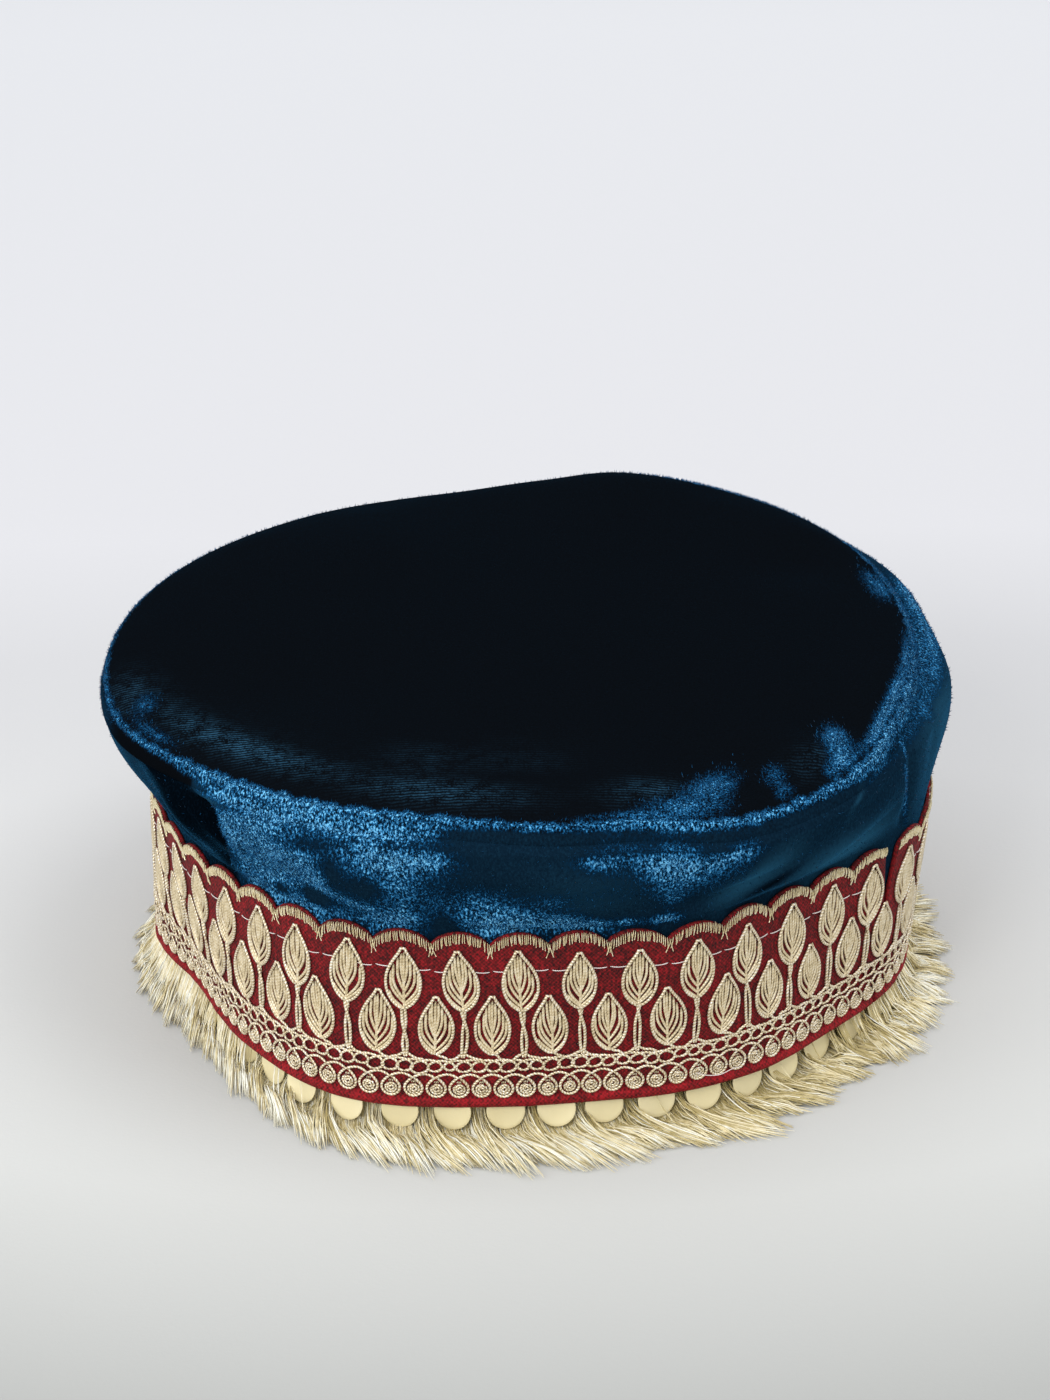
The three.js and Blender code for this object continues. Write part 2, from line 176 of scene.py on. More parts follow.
@dataclass(frozen=True)
class Mark:
    """A soft patch on the velvet: a fold in its shape or a place where its pile is crushed.

    Attributes:
        angle: Middle of the patch round the cap, degrees.
        level: Middle of the patch along the other way of the surface.
        spread: Half width in degrees.
        tall: Half height in the level's own unit.
        depth: How strong the patch is, negative for a hollow or an unmarked place.
        slant: How much the level rises for each degree.
        lean: How many degrees the patch turns for each unit of level.
    """

    angle: float
    level: float
    spread: float
    tall: float
    depth: float
    slant: float = 0.0
    lean: float = 0.0

    def at(self, angle: Points, level: Points) -> Points:
        """Work out the patch at some places.

        Args:
            angle: Degrees round the cap.
            level: Places along the other way of the surface.

        Returns:
            The patch's strength there.
        """
        turn = turn_between(angle, self.angle)
        along = turn - self.lean * (level - self.level)
        climb = level - self.level - self.slant * turn
        return self.depth * bell(along / self.spread) * bell(climb / self.tall)


def marks(*rows: tuple[float, ...]) -> tuple[Mark, ...]:
    """Return the patches that rows of a patch's values in their order stand for."""
    return tuple(Mark(*row) for row in rows)


def total(patches: Iterable[Mark], angle: Points, level: Points) -> Points:
    """Add up patches.

    Args:
        patches: The patches.
        angle: Degrees round the cap.
        level: Places along the other way of the surface.

    Returns:
        The sum of their strengths there.
    """
    angle, level = np.broadcast_arrays(np.asarray(angle, float), np.asarray(level, float))
    made = np.zeros(angle.shape)
    for patch in patches:
        made = made + patch.at(angle, level)
    return made


# ---- the cap's own form --------------------------------------------------------------------------

# fmt: off
# Angle, radius of the trim's outer face at its hem, and at its scallops.
TRIM_OUTLINE = (
    (-150, 91.5, 94), (-115, 93, 94), (-98, 94.5, 93.5), (-84, 93, 92.6), (-68, 87.2, 92), (-48, 91.2, 92),
    (-28, 95.8, 94.2), (-8, 91.2, 91.9), (7, 89.4, 91.4), (20, 91, 94.8), (34, 91.6, 92.4), (48, 90.2, 93),
    (66, 92.3, 98), (84, 91, 95.6), (115, 91.5, 95), (150, 91.5, 94.5), (180, 91, 94),
)
# Angle, then radius and height of the side wall's swell, and of the tip's edge.
CROWN_OUTLINE = (
    (-168, 102, 79.5, 99, 83.1), (-145, 102, 78, 99.6, 83.5), (-115, 103, 78, 101, 82.9),
    (-90, 102.9, 77.2, 101.8, 81.4), (-70, 103.2, 75.4, 102, 80), (-50, 101, 75, 98.3, 81),
    (-30, 99.5, 76, 97, 82), (-12, 98.5, 76, 96, 82.8), (3, 99.5, 76, 96.8, 81.9),
    (14, 99.5, 75, 96.5, 81.2), (26, 102.5, 73, 100.2, 79), (45, 102, 73, 99.5, 79.5),
    (62, 99.5, 73, 94, 81), (82, 99, 74, 91.2, 81.6), (102, 100.3, 76, 92.5, 82.2),
    (124, 104.8, 78.5, 97, 84), (146, 105, 80, 101.2, 85.6), (166, 104, 81, 101.2, 87.5),
    (178, 103, 80.5, 100, 85),
)
# Folds of the side wall. The level is the height in millimetres.
WALL_FOLDS = marks(
    (-66, 66, 8, 14, -3.6, -0.7), (-53, 66, 4.5, 13, 2.6, -1), (-38, 61, 7, 7, -2.2, 0.3),
    (-25, 67, 9, 8, 1.8), (-8, 62, 8, 5, -1.4, 0.2), (8, 68, 12, 5, 1.2), (24, 60, 9, 5, -1.6, 0.2),
    (44, 63, 13, 4, 1.6, 0.55), (52, 70, 12, 6, -1.8, 0.3), (84, 68, 8, 12, 1.5),
    (108, 64, 9, 9, -2.2, -0.4), (138, 66, 12, 8, 1.8, 0.3), (166, 63, 10, 8, -2),
    (-162, 66, 11, 9, 1.6, 0.3), (-134, 64, 9, 8, -2.2, -0.3), (-108, 67, 9, 10, 1.8, 0.2),
)
# Finer wrinkles that run between those folds.
WALL_WRINKLES = marks(
    (-48.5, 68, 1.6, 13, 0.9, 0, -0.18), (-45.5, 66, 1.4, 12, -0.8, 0, -0.16), (-30, 58, 3, 2, -0.8, 0.2),
    (-20, 62, 4, 1.6, 0.5, -0.25), (-4, 66, 6, 1.6, -0.6, 0.2), (6, 60, 5, 1.5, 0.5, 0.15),
    (17, 65, 2.2, 5, 0.5, 0, 0.2), (28, 61, 6, 1.5, -0.7, 0.5), (38, 58, 9, 1.3, 0.8, 0.35),
    (50, 61, 8, 1.4, -0.6, 0.3), (70, 70, 2.5, 8, -0.5, 0, 0.2), (95, 62, 3, 9, 0.6, 0, -0.2),
    (120, 70, 3, 7, -0.6, 0, 0.3), (150, 60, 7, 2, -0.7, 0.3), (-150, 60, 7, 2, 0.7, -0.3),
    (-118, 62, 3, 8, -0.6, 0, 0.2), (-88, 66, 2.5, 10, 0.6),
)
# Broad rises and hollows of the tip: angle, millimetres from its middle, half width and depth.
TIP_DENTS = (
    (-140, 70, 24, 1.2), (-60, 62, 22, -1.4), (-5, 60, 26, -1.2), (30, 88, 8, -1.4), (44, 86, 7, 1.2),
    (54, 86, 7, -1.6), (120, 78, 14, -1.8),
)
# Tucks at the tip's edge. The level is the share of the way out to it.
TIP_TUCKS = marks(
    (51, 0.92, 2.4, 0.05, 1.1, 0, -45), (57, 0.93, 2.4, 0.05, -1.2, 0, -30),
    (26, 0.9, 3.4, 0.07, 0.8, 0, -50), (32, 0.92, 1.5, 0.06, -1.1, 0, -20),
    (35.5, 0.92, 1.6, 0.05, 0.6, 0, -20), (39.5, 0.94, 1.8, 0.05, -0.8, 0, -20), (-72, 0.94, 3, 0.05, 0.7),
    (75, 0.95, 4, 0.04, 0.6), (-30, 0.95, 6, 0.03, 0.4), (105, 0.95, 5, 0.05, -0.8),
    (128, 0.94, 6, 0.05, 0.7), (150, 0.95, 5, 0.05, -0.7), (-105, 0.95, 6, 0.05, -0.7),
    (-130, 0.94, 5, 0.05, 0.7), (-155, 0.95, 6, 0.05, -0.6),
)
# The sharp edge of the big fold at the front left: the rise, and the angle there.
FOLD_EDGE = (
    (0, -48.5), (0.15, -47.2), (0.35, -46.2), (0.6, -45.3), (0.9, -45), (1.2, -46), (1.5, -47.5),
    (2, -50.5),
)
# Places where the side wall's pile is crushed, and painted lighter there as a painted sheen. The
# level is the rise: 0 at the trim, 1 at the swell and 2 at the seam with the tip.
WALL_CRUSH_AND_SHEEN = marks(
    # The broad blue field at the front left, then its brighter ridges and the holes in it.
    (-38, 0.9, 10, 1.4, 0.46), (-20, 0.9, 8, 1.4, 0.26), (-41, 0.9, 3.4, 0.5, 0.35),
    (-34, 0.52, 4.5, 0.24, 0.5), (-36, 1.6, 4, 0.6, 0.4), (-21, 1.6, 7, 0.6, 0.48),
    (-19, 0.87, 5, 0.15, 0.6), (-13, 0.9, 3, 0.13, 0.4), (-17.5, 0.55, 3, 0.24, 0.3),
    (-18.5, 0.15, 2, 0.15, 0.4), (-25, 0.24, 5, 0.07, 0.5, -0.025), (-40, 0.22, 3.5, 0.1, 0.4),
    (-44, 0.5, 1.1, 0.5, 0.4, 0, 1.5), (-29, 0.45, 1.6, 0.2, 0.4), (-31.3, 0.2, 1.7, 0.09, -1.5),
    (-27, 0.62, 1.8, 0.22, -0.4), (-38, 0.12, 1.4, 0.07, -0.8), (-22.5, 0.5, 2.2, 0.14, -0.35),
    (-32, 0.86, 4, 0.09, -0.35, 0.01), (-19, 1.5, 0.5, 0.6, -0.5), (-23.5, 1.5, 0.5, 0.5, -0.4),
    (-34, 0.03, 8, 0.1, 0.45), (-21, 0.06, 4, 0.1, 0.45), (-12.5, 0.05, 1.6, 0.1, -0.5),
    (-43, 0.06, 3, 0.1, 0.4), (-34, 0.72, 7, 0.2, 0.2), (-45, 1.7, 3, 0.3, -0.3),
    # The front, where the patches are fewer.
    (-7, 0.3, 6, 0.24, 0.5), (-6, 0.06, 5, 0.12, 0.6), (-1, 0.14, 5, 0.16, 0.5), (4, 0.1, 3, 0.12, 0.6),
    (2, 0.42, 2, 0.12, 0.25), (8, 0.92, 2.4, 0.1, 0.4), (8, 0.05, 4, 0.07, 0.7), (10, 1.5, 4, 0.5, 0.3),
    (18, 1.5, 3.4, 0.6, 0.4), (16, 0.88, 3.4, 0.13, 0.5), (23.5, 0.92, 5, 0.1, 0.55, 0.01),
    (17.5, 0.66, 3.8, 0.22, 0.38), (20, 0.78, 6, 0.16, 0.25), (10, 0.95, 6, 0.14, 0.2),
    (24, 0.6, 3.5, 0.26, 0.16), (8, 0.5, 7, 0.2, 0.12), (18, 0.4, 1.8, 0.13, 0.35),
    (13, 0.08, 1.4, 0.06, 0.5), (17.6, 0.08, 2, 0.07, 1), (17.8, 0.02, 0.8, 0.03, -1),
    (26.5, 1.4, 2, 0.5, 0.4),
    # The right, under the tip's edge and round to the back.
    (53, 1.95, 5, 0.1, 0.45), (60.6, 1.6, 0.6, 0.5, 0.75, 0, 3), (60.4, 0.6, 0.5, 0.5, 0.75, 0, -4),
    (70, 1.78, 6, 0.16, 0.28), (79, 1.72, 6, 0.22, 0.32), (88, 1.62, 6, 0.3, 0.4), (98, 1.5, 6, 0.4, 0.6),
    (110, 1.35, 7, 0.45, 0.65), (72, 1.5, 1.6, 0.25, 0.3),
    # The back and the left, where the patches run in slanting streaks.
    (124, 0.85, 5, 0.28, 0.6, 0.03), (130, 1.3, 2.6, 0.45, 0.5, 0, 5), (139, 0.4, 6, 0.15, 0.6, -0.03),
    (143, 0.16, 3, 0.12, 0.5), (134, 0.65, 2.2, 0.26, 0.4, 0, 8), (150, 1.5, 4.6, 0.38, 0.5, 0.06),
    (154, 0.9, 2.6, 0.4, 0.4, 0, 7), (166, 0.9, 5, 0.15, 0.6, 0.03), (171, 0.55, 2.6, 0.3, 0.5, 0, -7),
    (178, 0.28, 5, 0.12, 0.55, -0.03), (-177, 0.1, 3, 0.1, 0.5), (-170, 1.45, 4.6, 0.34, 0.5, 0.06),
    (-164, 1, 3, 0.3, 0.4, 0, 6), (-157, 0.55, 4, 0.18, 0.6, -0.04), (-151, 0.26, 4, 0.13, 0.5),
    (-143, 1.35, 3.4, 0.5, 0.55, 0, 6), (-138, 0.8, 2.6, 0.28, 0.45, 0, -5),
    (-129, 0.35, 5, 0.14, 0.55, 0.04), (-124, 0.65, 2.2, 0.3, 0.4, 0, 8),
    (-115, 1.45, 3.6, 0.45, 0.5, 0, -5), (-110, 0.9, 2.6, 0.3, 0.45, 0, 5),
    (-100, 0.45, 5, 0.22, 0.5, 0.03), (-96, 1.2, 2.6, 0.4, 0.35, 0, 5), (-86, 1.5, 5, 0.4, 0.4),
    (-72, 1.75, 5, 0.25, 0.45),
)
# Places where the side wall's pile lies smooth, painted a lighter teal as a painted sheen.
WALL_SMOOTH_SHEEN = marks(
    (29.5, 0.5, 3.4, 0.34, 0.6, 0, 9), (46, 0.3, 9, 0.26, 0.85), (76, 0.9, 11, 0.9, 0.35),
    (12, 0.75, 14, 0.3, 0.03), (33, 0.28, 3, 0.08, -0.5, 0.045), (45.5, 1.45, 0.9, 0.45, 0.35, 0, 2.5),
    (7, 0.5, 7, 0.3, 0.15), (-47, 1.55, 3, 0.4, 0.45, 0, -5), (110, 0.4, 10, 0.4, 0.45),
    (160, 1, 14, 0.6, 0.4), (-120, 0.9, 12, 0.6, 0.4), (-76, 1.2, 4, 0.6, 0.3), (-88, 0.7, 6, 0.6, 0.2),
)
# Crushed places of the tip, painted lighter as a painted sheen. The level is the share of the way out to the
# edge.
TIP_CRUSH_AND_SHEEN = marks(
    (20.5, 0.95, 5, 0.028, 0.5, 0, -50), (26.3, 0.88, 3.8, 0.05, 0.6, 0, -50), (31, 0.95, 1.5, 0.04, -0.5),
    (34.5, 0.96, 1.8, 0.02, 0.35, 0, -20), (35.8, 0.905, 1.8, 0.035, 0.36, 0, -20),
    (46, 0.96, 3.4, 0.022, 0.7, 0, -45), (50, 0.905, 2.7, 0.04, 0.8, 0, -45), (39.5, 0.95, 1.8, 0.03, -0.4),
    (57, 0.972, 6, 0.014, 0.8), (68, 0.972, 7, 0.014, 0.85), (80, 0.98, 8, 0.012, 0.7),
    (-71, 0.93, 2.6, 0.03, 0.35, 0, 40), (-63, 0.97, 5, 0.015, 0.35), (14, 0.98, 8, 0.01, 0.4),
    (108, 0.96, 5, 0.03, 0.5),
)
# Places of the tip where the knit's rows show faintly through the pile, painted lighter as a faint painted
# sheen.
TIP_FAINT = marks(
    (-48, 0.885, 15, 0.045, 0.8), (-60, 0.9, 8, 0.03, 0.3), (-14, 0.9, 10, 0.05, 0.6),
    (-20, 0.76, 7, 0.05, 0.2), (-3, 0.7, 9, 0.04, 0.12), (18, 0.9, 6, 0.05, 0.5), (-75, 0.95, 6, 0.05, 0.4),
    (44, 0.92, 5, 0.04, 0.3),
)
# Angle, and how strong the painted highlight is on the pile where it bends over the tip's edge.
RIM_LIGHT = (
    (-160, 0.2), (-130, 0.35), (-105, 0.4), (-88, 0.42), (-76, 0.5), (-66, 0.6), (-58, 0.65), (-48, 0.82),
    (-36, 0.9), (-24, 0.84), (-12, 0.72), (-3, 0.62), (6, 0.64), (16, 0.76), (26, 0.76), (38, 0.74),
    (48, 0.84), (60, 0.9), (75, 0.9), (90, 0.85), (104, 0.85), (118, 0.75), (130, 0.45), (142, 0.85),
    (156, 0.95), (168, 0.35),
)
# Angle, and how far down its roll that painted highlight reaches.
RIM_DEPTH = (
    (-150, 0.4), (-90, 0.3), (-66, 0.3), (-56, 0.42), (-49, 0.95), (-38, 1.35), (-16, 1.3), (-8, 0.55),
    (4, 0.45), (18, 0.65), (28, 0.5), (42, 0.5), (54, 0.9), (70, 1.0), (100, 1.05), (140, 0.7),
)
# Angle, and how far the fringe lies out from the hem on the floor.
FRINGE_SPREAD = (
    (-140, 13), (-115, 8), (-95, 6.5), (-80, 7.6), (-65, 8.4), (-50, 9), (-35, 12), (-20, 15.5), (10, 16),
    (20, 15), (30, 12), (40, 10), (50, 11.5), (62, 14.5), (76, 13), (95, 11.5), (135, 14), (180, 15),
)
# Angle, and how far the fringe's threads slide round the cap for each millimetre that they reach.
FRINGE_DRIFT = (
    (-135, 0.5), (-95, 1.1), (-80, 1.6), (-65, 1.6), (-50, 1.35), (-35, 1.2), (-20, 1.05), (-5, 0.95),
    (10, 0.95), (20, 1.0), (30, 1.0), (40, 1.1), (50, 0.4), (62, -0.25), (76, -0.1), (92, 0.2), (135, 0.5),
)
# fmt: on


@dataclass(frozen=True)
class CapForm:
    """The cap's outline, from which every piece takes its place. Sizes are in millimetres."""

    hem_z: float = 8.0
    trim_height: float = 45.0
    scallop_depth: float = 3.0
    scallops: int = 44
    repeat_mm: float = 13.13
    spangles: int = 48
    first_spangle: float = -43.0
    trim_cloth: float = 0.9
    velvet: float = 1.6
    gap: float = 0.3
    join_angle: float = 59.0
    join_half_gap: float = 0.4
    join_open: float = 0.9
    wall_foot: float = 4.0
    seam_angle: float = 61.0
    seam_depth: float = 0.9
    seam_spread: float = 1.3
    seam_drop: float = 4.1
    shoulder: float = 1.2
    fold_depth: float = 2.6
    fold_width: float = 9.0
    tip_middle: float = 84.5
    tip_puff: float = 2.2
    puff_power: float = 24.0
    hem: RingCurve = RingCurve(TRIM_OUTLINE, 1)
    top: RingCurve = RingCurve(TRIM_OUTLINE, 2)
    bulge: RingCurve = RingCurve(CROWN_OUTLINE, 1)
    bulge_z: RingCurve = RingCurve(CROWN_OUTLINE, 2)
    rim: RingCurve = RingCurve(CROWN_OUTLINE, 3)
    rim_z: RingCurve = RingCurve(CROWN_OUTLINE, 4)
    spread: RingCurve = RingCurve(FRINGE_SPREAD, 1)
    rim_light: RingCurve = RingCurve(RIM_LIGHT, 1)
    rim_depth: RingCurve = RingCurve(RIM_DEPTH, 1)
    drift: RingCurve = RingCurve(FRINGE_DRIFT, 1)

    @property
    def pitch(self) -> float:
        """Return the turn from one scallop to the next, degrees."""
        return 360.0 / self.scallops

    @property
    def mm_turn(self) -> float:
        """Return the degrees that one millimetre of the trim's pattern takes up."""
        return self.pitch / self.repeat_mm

    @property
    def spangle_pitch(self) -> float:
        """Return the turn from one spangle to the next, degrees."""
        return 360.0 / self.spangles

    def trim_radius(self, angle: Points, height: Points) -> Points:
        """Return the radius of the trim's outer face at a height above the hem."""
        share = np.asarray(height, float) / self.trim_height
        return self.hem(angle) * (1 - share) + self.top(angle) * share

    def scallop_height(self, angle: Points) -> Points:
        """Follow the scalloped edge.

        Args:
            angle: Degrees round the cap.

        Returns:
            Its height above the hem, millimetres.
        """
        across = np.mod((np.asarray(angle, float) - self.join_angle) / self.pitch, 1.0)
        lobe = np.clip(1.0 - np.square(2.0 * across - 1.0), 0.0, 1.0) ** 0.8
        return self.trim_height - self.scallop_depth * (1.0 - lobe)

    def on_trim(self, angle: Points, height: Points, lift: Points = 0.0) -> Points:
        """Return points on the trim's outer face.

        Args:
            angle: Degrees round the cap.
            height: Millimetres above the hem.
            lift: Millimetres out from the cloth.

        Returns:
            Points in millimetres.
        """
        radius = self.trim_radius(angle, height) + lift
        return place(angle, radius, self.hem_z + np.asarray(height, float))

    def wall(self, angle: Points, rise: Points) -> Points:
        """Return points on the side wall's outer face.

        Args:
            angle: Degrees round the cap.
            rise: Below 0 behind the trim, 0 at the trim's top, 1 at the swell and 2 at the seam.

        Returns:
            Points in millimetres.
        """
        angle, rise = np.broadcast_arrays(np.asarray(angle, float), np.asarray(rise, float))
        flare = self.trim_height + self.gap
        inset = self.trim_cloth + self.gap
        start = self.trim_radius(angle, flare) - inset
        behind, up, over = np.clip(-rise, 0, 1), np.clip(rise, 0, 1), np.clip(rise - 1, 0, 1)
        low = self.hem_z + self.wall_foot
        flare_z = self.hem_z + flare
        hidden_z = flare_z + (low - flare_z) * behind
        hidden = self.trim_radius(angle, hidden_z - self.hem_z) - inset
        z = flare_z + (self.bulge_z(angle) - flare_z) * up
        folds = total(WALL_FOLDS, angle, z) + total(WALL_WRINKLES, angle, z)
        folds = folds - self.seam_depth * bell(turn_between(angle, self.seam_angle) / self.seam_spread)
        behind_fold = -self.past_fold(angle, rise)
        sunk = self.fold_depth * ease(behind_fold, -0.2, 1.1)
        folds = folds - sunk * bell(np.clip(behind_fold - 1.1, 0, None) / self.fold_width)
        swell = start + (self.bulge(angle) - start) * np.sin(up * math.pi / 2)
        radius = swell + folds * ease(up, 0, 0.3) * (1 - 0.75 * over)
        top_z = self.rim_z(angle) - self.seam_drop
        radius = radius + (self.rim(angle) + self.shoulder - self.bulge(angle)) * over**1.7
        z = z + (top_z - self.bulge_z(angle)) * over
        return place(angle, np.where(rise < 0, hidden, radius), np.where(rise < 0, hidden_z, z))

    def past_fold(self, angle: Points, rise: Points) -> Points:
        """Return the turn past the big fold's edge in degrees, below 0 in the hollow behind it."""
        rises, angles = zip(*FOLD_EDGE)
        return turn_between(angle, np.interp(rise, rises, angles))

    def tip(self, angle: Points, share: Points) -> Points:
        """Find places on the tip's upper face.

        Args:
            angle: Degrees round the cap.
            share: How far out to its edge, 0 to 1.

        Returns:
            Points in millimetres.
        """
        angle, share = np.broadcast_arrays(np.asarray(angle, float), np.asarray(share, float))
        edge = self.rim_z(angle)
        radius = self.rim(angle) * share
        flat = place(angle, radius, 0.0)
        dents = np.zeros(angle.shape)
        for turn, out, half_width, depth in TIP_DENTS:
            away = np.linalg.norm(flat - place(turn, out, 0.0), axis=-1)
            dents = dents + depth * bell(away / half_width)
        dents = dents + total(TIP_TUCKS, angle, share)
        dome = (self.tip_middle - edge) * (1 - share**2) + self.tip_puff * (1 - share**self.puff_power)
        return place(angle, radius, edge + dome + dents * (1 - share**12))

    def roll(self, angle: Points, share: Points) -> Points:
        """Find places on the tip's rolled edge.

        Args:
            angle: Degrees round the cap.
            share: How far down from its crest (0) to the seam (1).

        Returns:
            Points in millimetres.
        """
        angle, share = np.broadcast_arrays(np.asarray(angle, float), np.asarray(share, float))
        out = self.shoulder * np.sin(math.pi / 2 * np.clip(share, 0, 1))
        drop = (self.seam_drop - 0.02) * share
        return place(angle, self.rim(angle) + out, self.rim_z(angle) - drop)


# ---- meshes --------------------------------------------------------------------------------------


@dataclass
class Surface:
    """A mesh in the making, in millimetres, with values that its material reads.

    Attributes:
        points: One row for each vertex.
        faces: Rows of four corners, the last of them -1 in a triangle.
        values: A number for each vertex under each name.
        uv: For each face corner, in the faces' order, or None.
    """

    points: Points
    faces: Points
    values: dict[str, Points] = field(default_factory=dict)
    uv: Points | None = None

    def piece(self, name: str, material: bpy.types.Material, smooth: bool = True) -> Piece:
        """Make the Blender object.

        Args:
            name: The piece's name.
            material: Its finish.
            smooth: Whether light rolls smoothly over its faces.

        Returns:
            The object, with its vertices in metres.
        """
        mesh = bpy.data.meshes.new(name)
        used = self.faces >= 0
        faces = [[v for v in row if v >= 0] for row in self.faces.tolist()]
        mesh.from_pydata((self.points * MM).tolist(), [], faces)
        for key, numbers in self.values.items():
            layer = mesh.attributes.new(key, "FLOAT", "POINT")
            layer.data.foreach_set("value", np.asarray(numbers, np.float32).ravel())
        if self.uv is not None:
            layer = mesh.uv_layers.new(name="run")
            layer.data.foreach_set("uv", np.asarray(self.uv[used.ravel()], np.float32).ravel())
        mesh.polygons.foreach_set("use_smooth", np.full(len(mesh.polygons), smooth))
        mesh.materials.append(material)
        mesh.validate()
        mesh.update()
        made = bpy.data.objects.new(name, mesh)
        bpy.context.scene.collection.objects.link(made)
        return made


def shifted(faces: Points, start: Points) -> Points:
    """Return faces whose vertex indices are moved up by start, missing corners left as they are."""
    return np.where(faces >= 0, faces + start, -1)


def join_surfaces(surfaces: Sequence[Surface]) -> Surface:
    """Put surfaces into one.

    Args:
        surfaces: Surfaces with the same values, with or without uv alike.

    Returns:
        The one surface.
    """
    starts = np.cumsum([0, *(len(s.points) for s in surfaces[:-1])])
    uv = None if surfaces[0].uv is None else np.concatenate([s.uv for s in surfaces])
    return Surface(
        np.concatenate([s.points for s in surfaces]),
        np.concatenate([shifted(s.faces, start) for s, start in zip(surfaces, starts)]),
        {k: np.concatenate([s.values[k] for s in surfaces]) for k in surfaces[0].values},
        uv,
    )


def grid_faces(columns: int, rows: int, wrap_columns: bool, wrap_rows: bool) -> Points:
    """Return the quads of a grid whose vertex (column, row) has index column * rows + row.

    Args:
        columns: How many columns of vertices.
        rows: How many vertices in each.
        wrap_columns: Whether the last column joins the first.
        wrap_rows: Whether the last row joins the first.

    Returns:
        Rows of four vertex indices that face out where columns turn with the angle and rows climb.
    """
    i = np.arange(columns if wrap_columns else columns - 1)
    k = np.arange(rows if wrap_rows else rows - 1)
    i, k = (v.ravel() for v in np.meshgrid(i, k, indexing="ij"))
    i2, k2 = (i + 1) % columns, (k + 1) % rows
    return np.stack([i * rows + k, i2 * rows + k, i2 * rows + k2, i * rows + k2], axis=-1)


def ring_shell(angles: Points, outline: Points, values: dict[str, Points]) -> Surface:
    """Return a closed shell that runs all the way round the cap.

    Args:
        angles: The angles of its columns.
        outline: Points by column and by place along the closed profile, climbing outside first.
        values: Numbers by column and place.

    Returns:
        The shell.
    """
    rows = outline.shape[1]
    faces = grid_faces(len(angles), rows, True, True)
    return Surface(outline.reshape(-1, 3), faces, {k: v.ravel() for k, v in values.items()})


@dataclass(frozen=True)
class Strand:
    """How a cord or thread is drawn: a tube with a flattened section.

    Attributes:
        width: Its width on the surface, millimetres.
        height: Its height off the surface, millimetres.
        sides: Faces round it.
        taper: Share of its width that is left at its two ends.
    """

    width: float
    height: float
    sides: int = 5
    taper: float = 0.6

    def sweep(self, paths: Points, outward: Points, shades: Points | None = None) -> Surface:
        """Sweep the section along paths that all have the same number of points.

        Args:
            paths: Points by path and place, millimetres.
            outward: The direction off the surface at each of them.
            shades: A number for each path, or for each of its points, given to the material.

        Returns:
            One surface with closed ends, its uv holding the turn round the strand and the
            millimetres run along it.
        """
        count, steps, _ = paths.shape
        along = unit(np.gradient(paths, axis=1))
        across = unit(np.cross(along, outward))
        up = unit(np.cross(across, along))
        turn = np.arange(self.sides) / self.sides * 2 * math.pi
        ends = np.ones(steps)
        ends[0] = ends[-1] = self.taper
        half_w = (np.cos(turn) * self.width / 2)[:, None] * ends[:, None, None]
        half_h = (np.sin(turn) * self.height / 2)[:, None] * ends[:, None, None]
        points = paths[:, :, None] + half_w * across[:, :, None] + half_h * up[:, :, None]
        ring = grid_faces(steps, self.sides, False, True)
        per_path = steps * self.sides
        quads = (ring[None] + np.arange(count)[:, None, None] * per_path).reshape(-1, 4)
        # Each strand's twist starts at its own place, so that neighbours do not line up.
        step = run_lengths(paths) + np.mod(np.arange(count) * 0.618, 1.0)[:, None]
        i = np.repeat(np.arange(steps - 1), self.sides)
        k = np.tile(np.arange(self.sides), steps - 1)
        around = np.stack([k, k, k + 1, k + 1], axis=-1) / self.sides
        run_a, run_b = step[:, i], step[:, i + 1]
        run = np.stack([run_a, run_b, run_b, run_a], axis=-1)
        uv = np.stack([np.broadcast_to(around, run.shape), run], axis=-1).reshape(-1, 2)
        caps = self._caps(count, steps)
        uv = np.concatenate([uv, np.zeros((len(caps) * 4, 2))])
        values = {}
        if shades is not None:
            shades = np.broadcast_to(np.reshape(shades, (count, -1)), (count, steps))
            values["shade"] = np.repeat(shades.ravel(), self.sides)
        return Surface(points.reshape(-1, 3), np.concatenate([quads, caps]), values, uv)

    def _caps(self, count: int, steps: int) -> Points:
        """Close both ends of every path.

        Args:
            count: How many paths.
            steps: Points on each.

        Returns:
            Faces for sections with 3 to 5 sides.
        """
        patterns = {3: ((0, 1, 2, -1),), 4: ((0, 1, 2, 3),), 5: ((0, 1, 2, 3), (0, 3, 4, -1))}
        pattern = np.array(patterns[self.sides])
        turned = np.where(pattern[:, 3:] < 0, pattern[:, [2, 1, 0, 3]], pattern[:, ::-1])
        start = np.arange(count)[:, None, None] * steps * self.sides
        first = shifted(turned[None], start)
        last = shifted(pattern[None], start + (steps - 1) * self.sides)
        return np.concatenate([first, last]).reshape(-1, 4)


def run_lengths(paths: Points) -> Points:
    """Return how far along its path each point lies, millimetres."""
    step = np.linalg.norm(np.diff(paths, axis=1), axis=-1)
    return np.concatenate([np.zeros((len(paths), 1)), np.cumsum(step, axis=1)], axis=1)


def even_path(points: Sequence[Sequence[float]], count: int) -> Points:
    """Return a smooth path of evenly spaced points through a few given ones.

    Args:
        points: The points that it passes through, any number of columns.
        count: How many points to return.

    Returns:
        The path's points.
    """
    given = np.asarray(points, float)
    fine = catmull(given, 12)
    run = run_lengths(fine[None])[0]
    wanted = np.linspace(0, run[-1], count)
    return np.stack([np.interp(wanted, run, fine[:, c]) for c in range(fine.shape[1])], axis=-1)


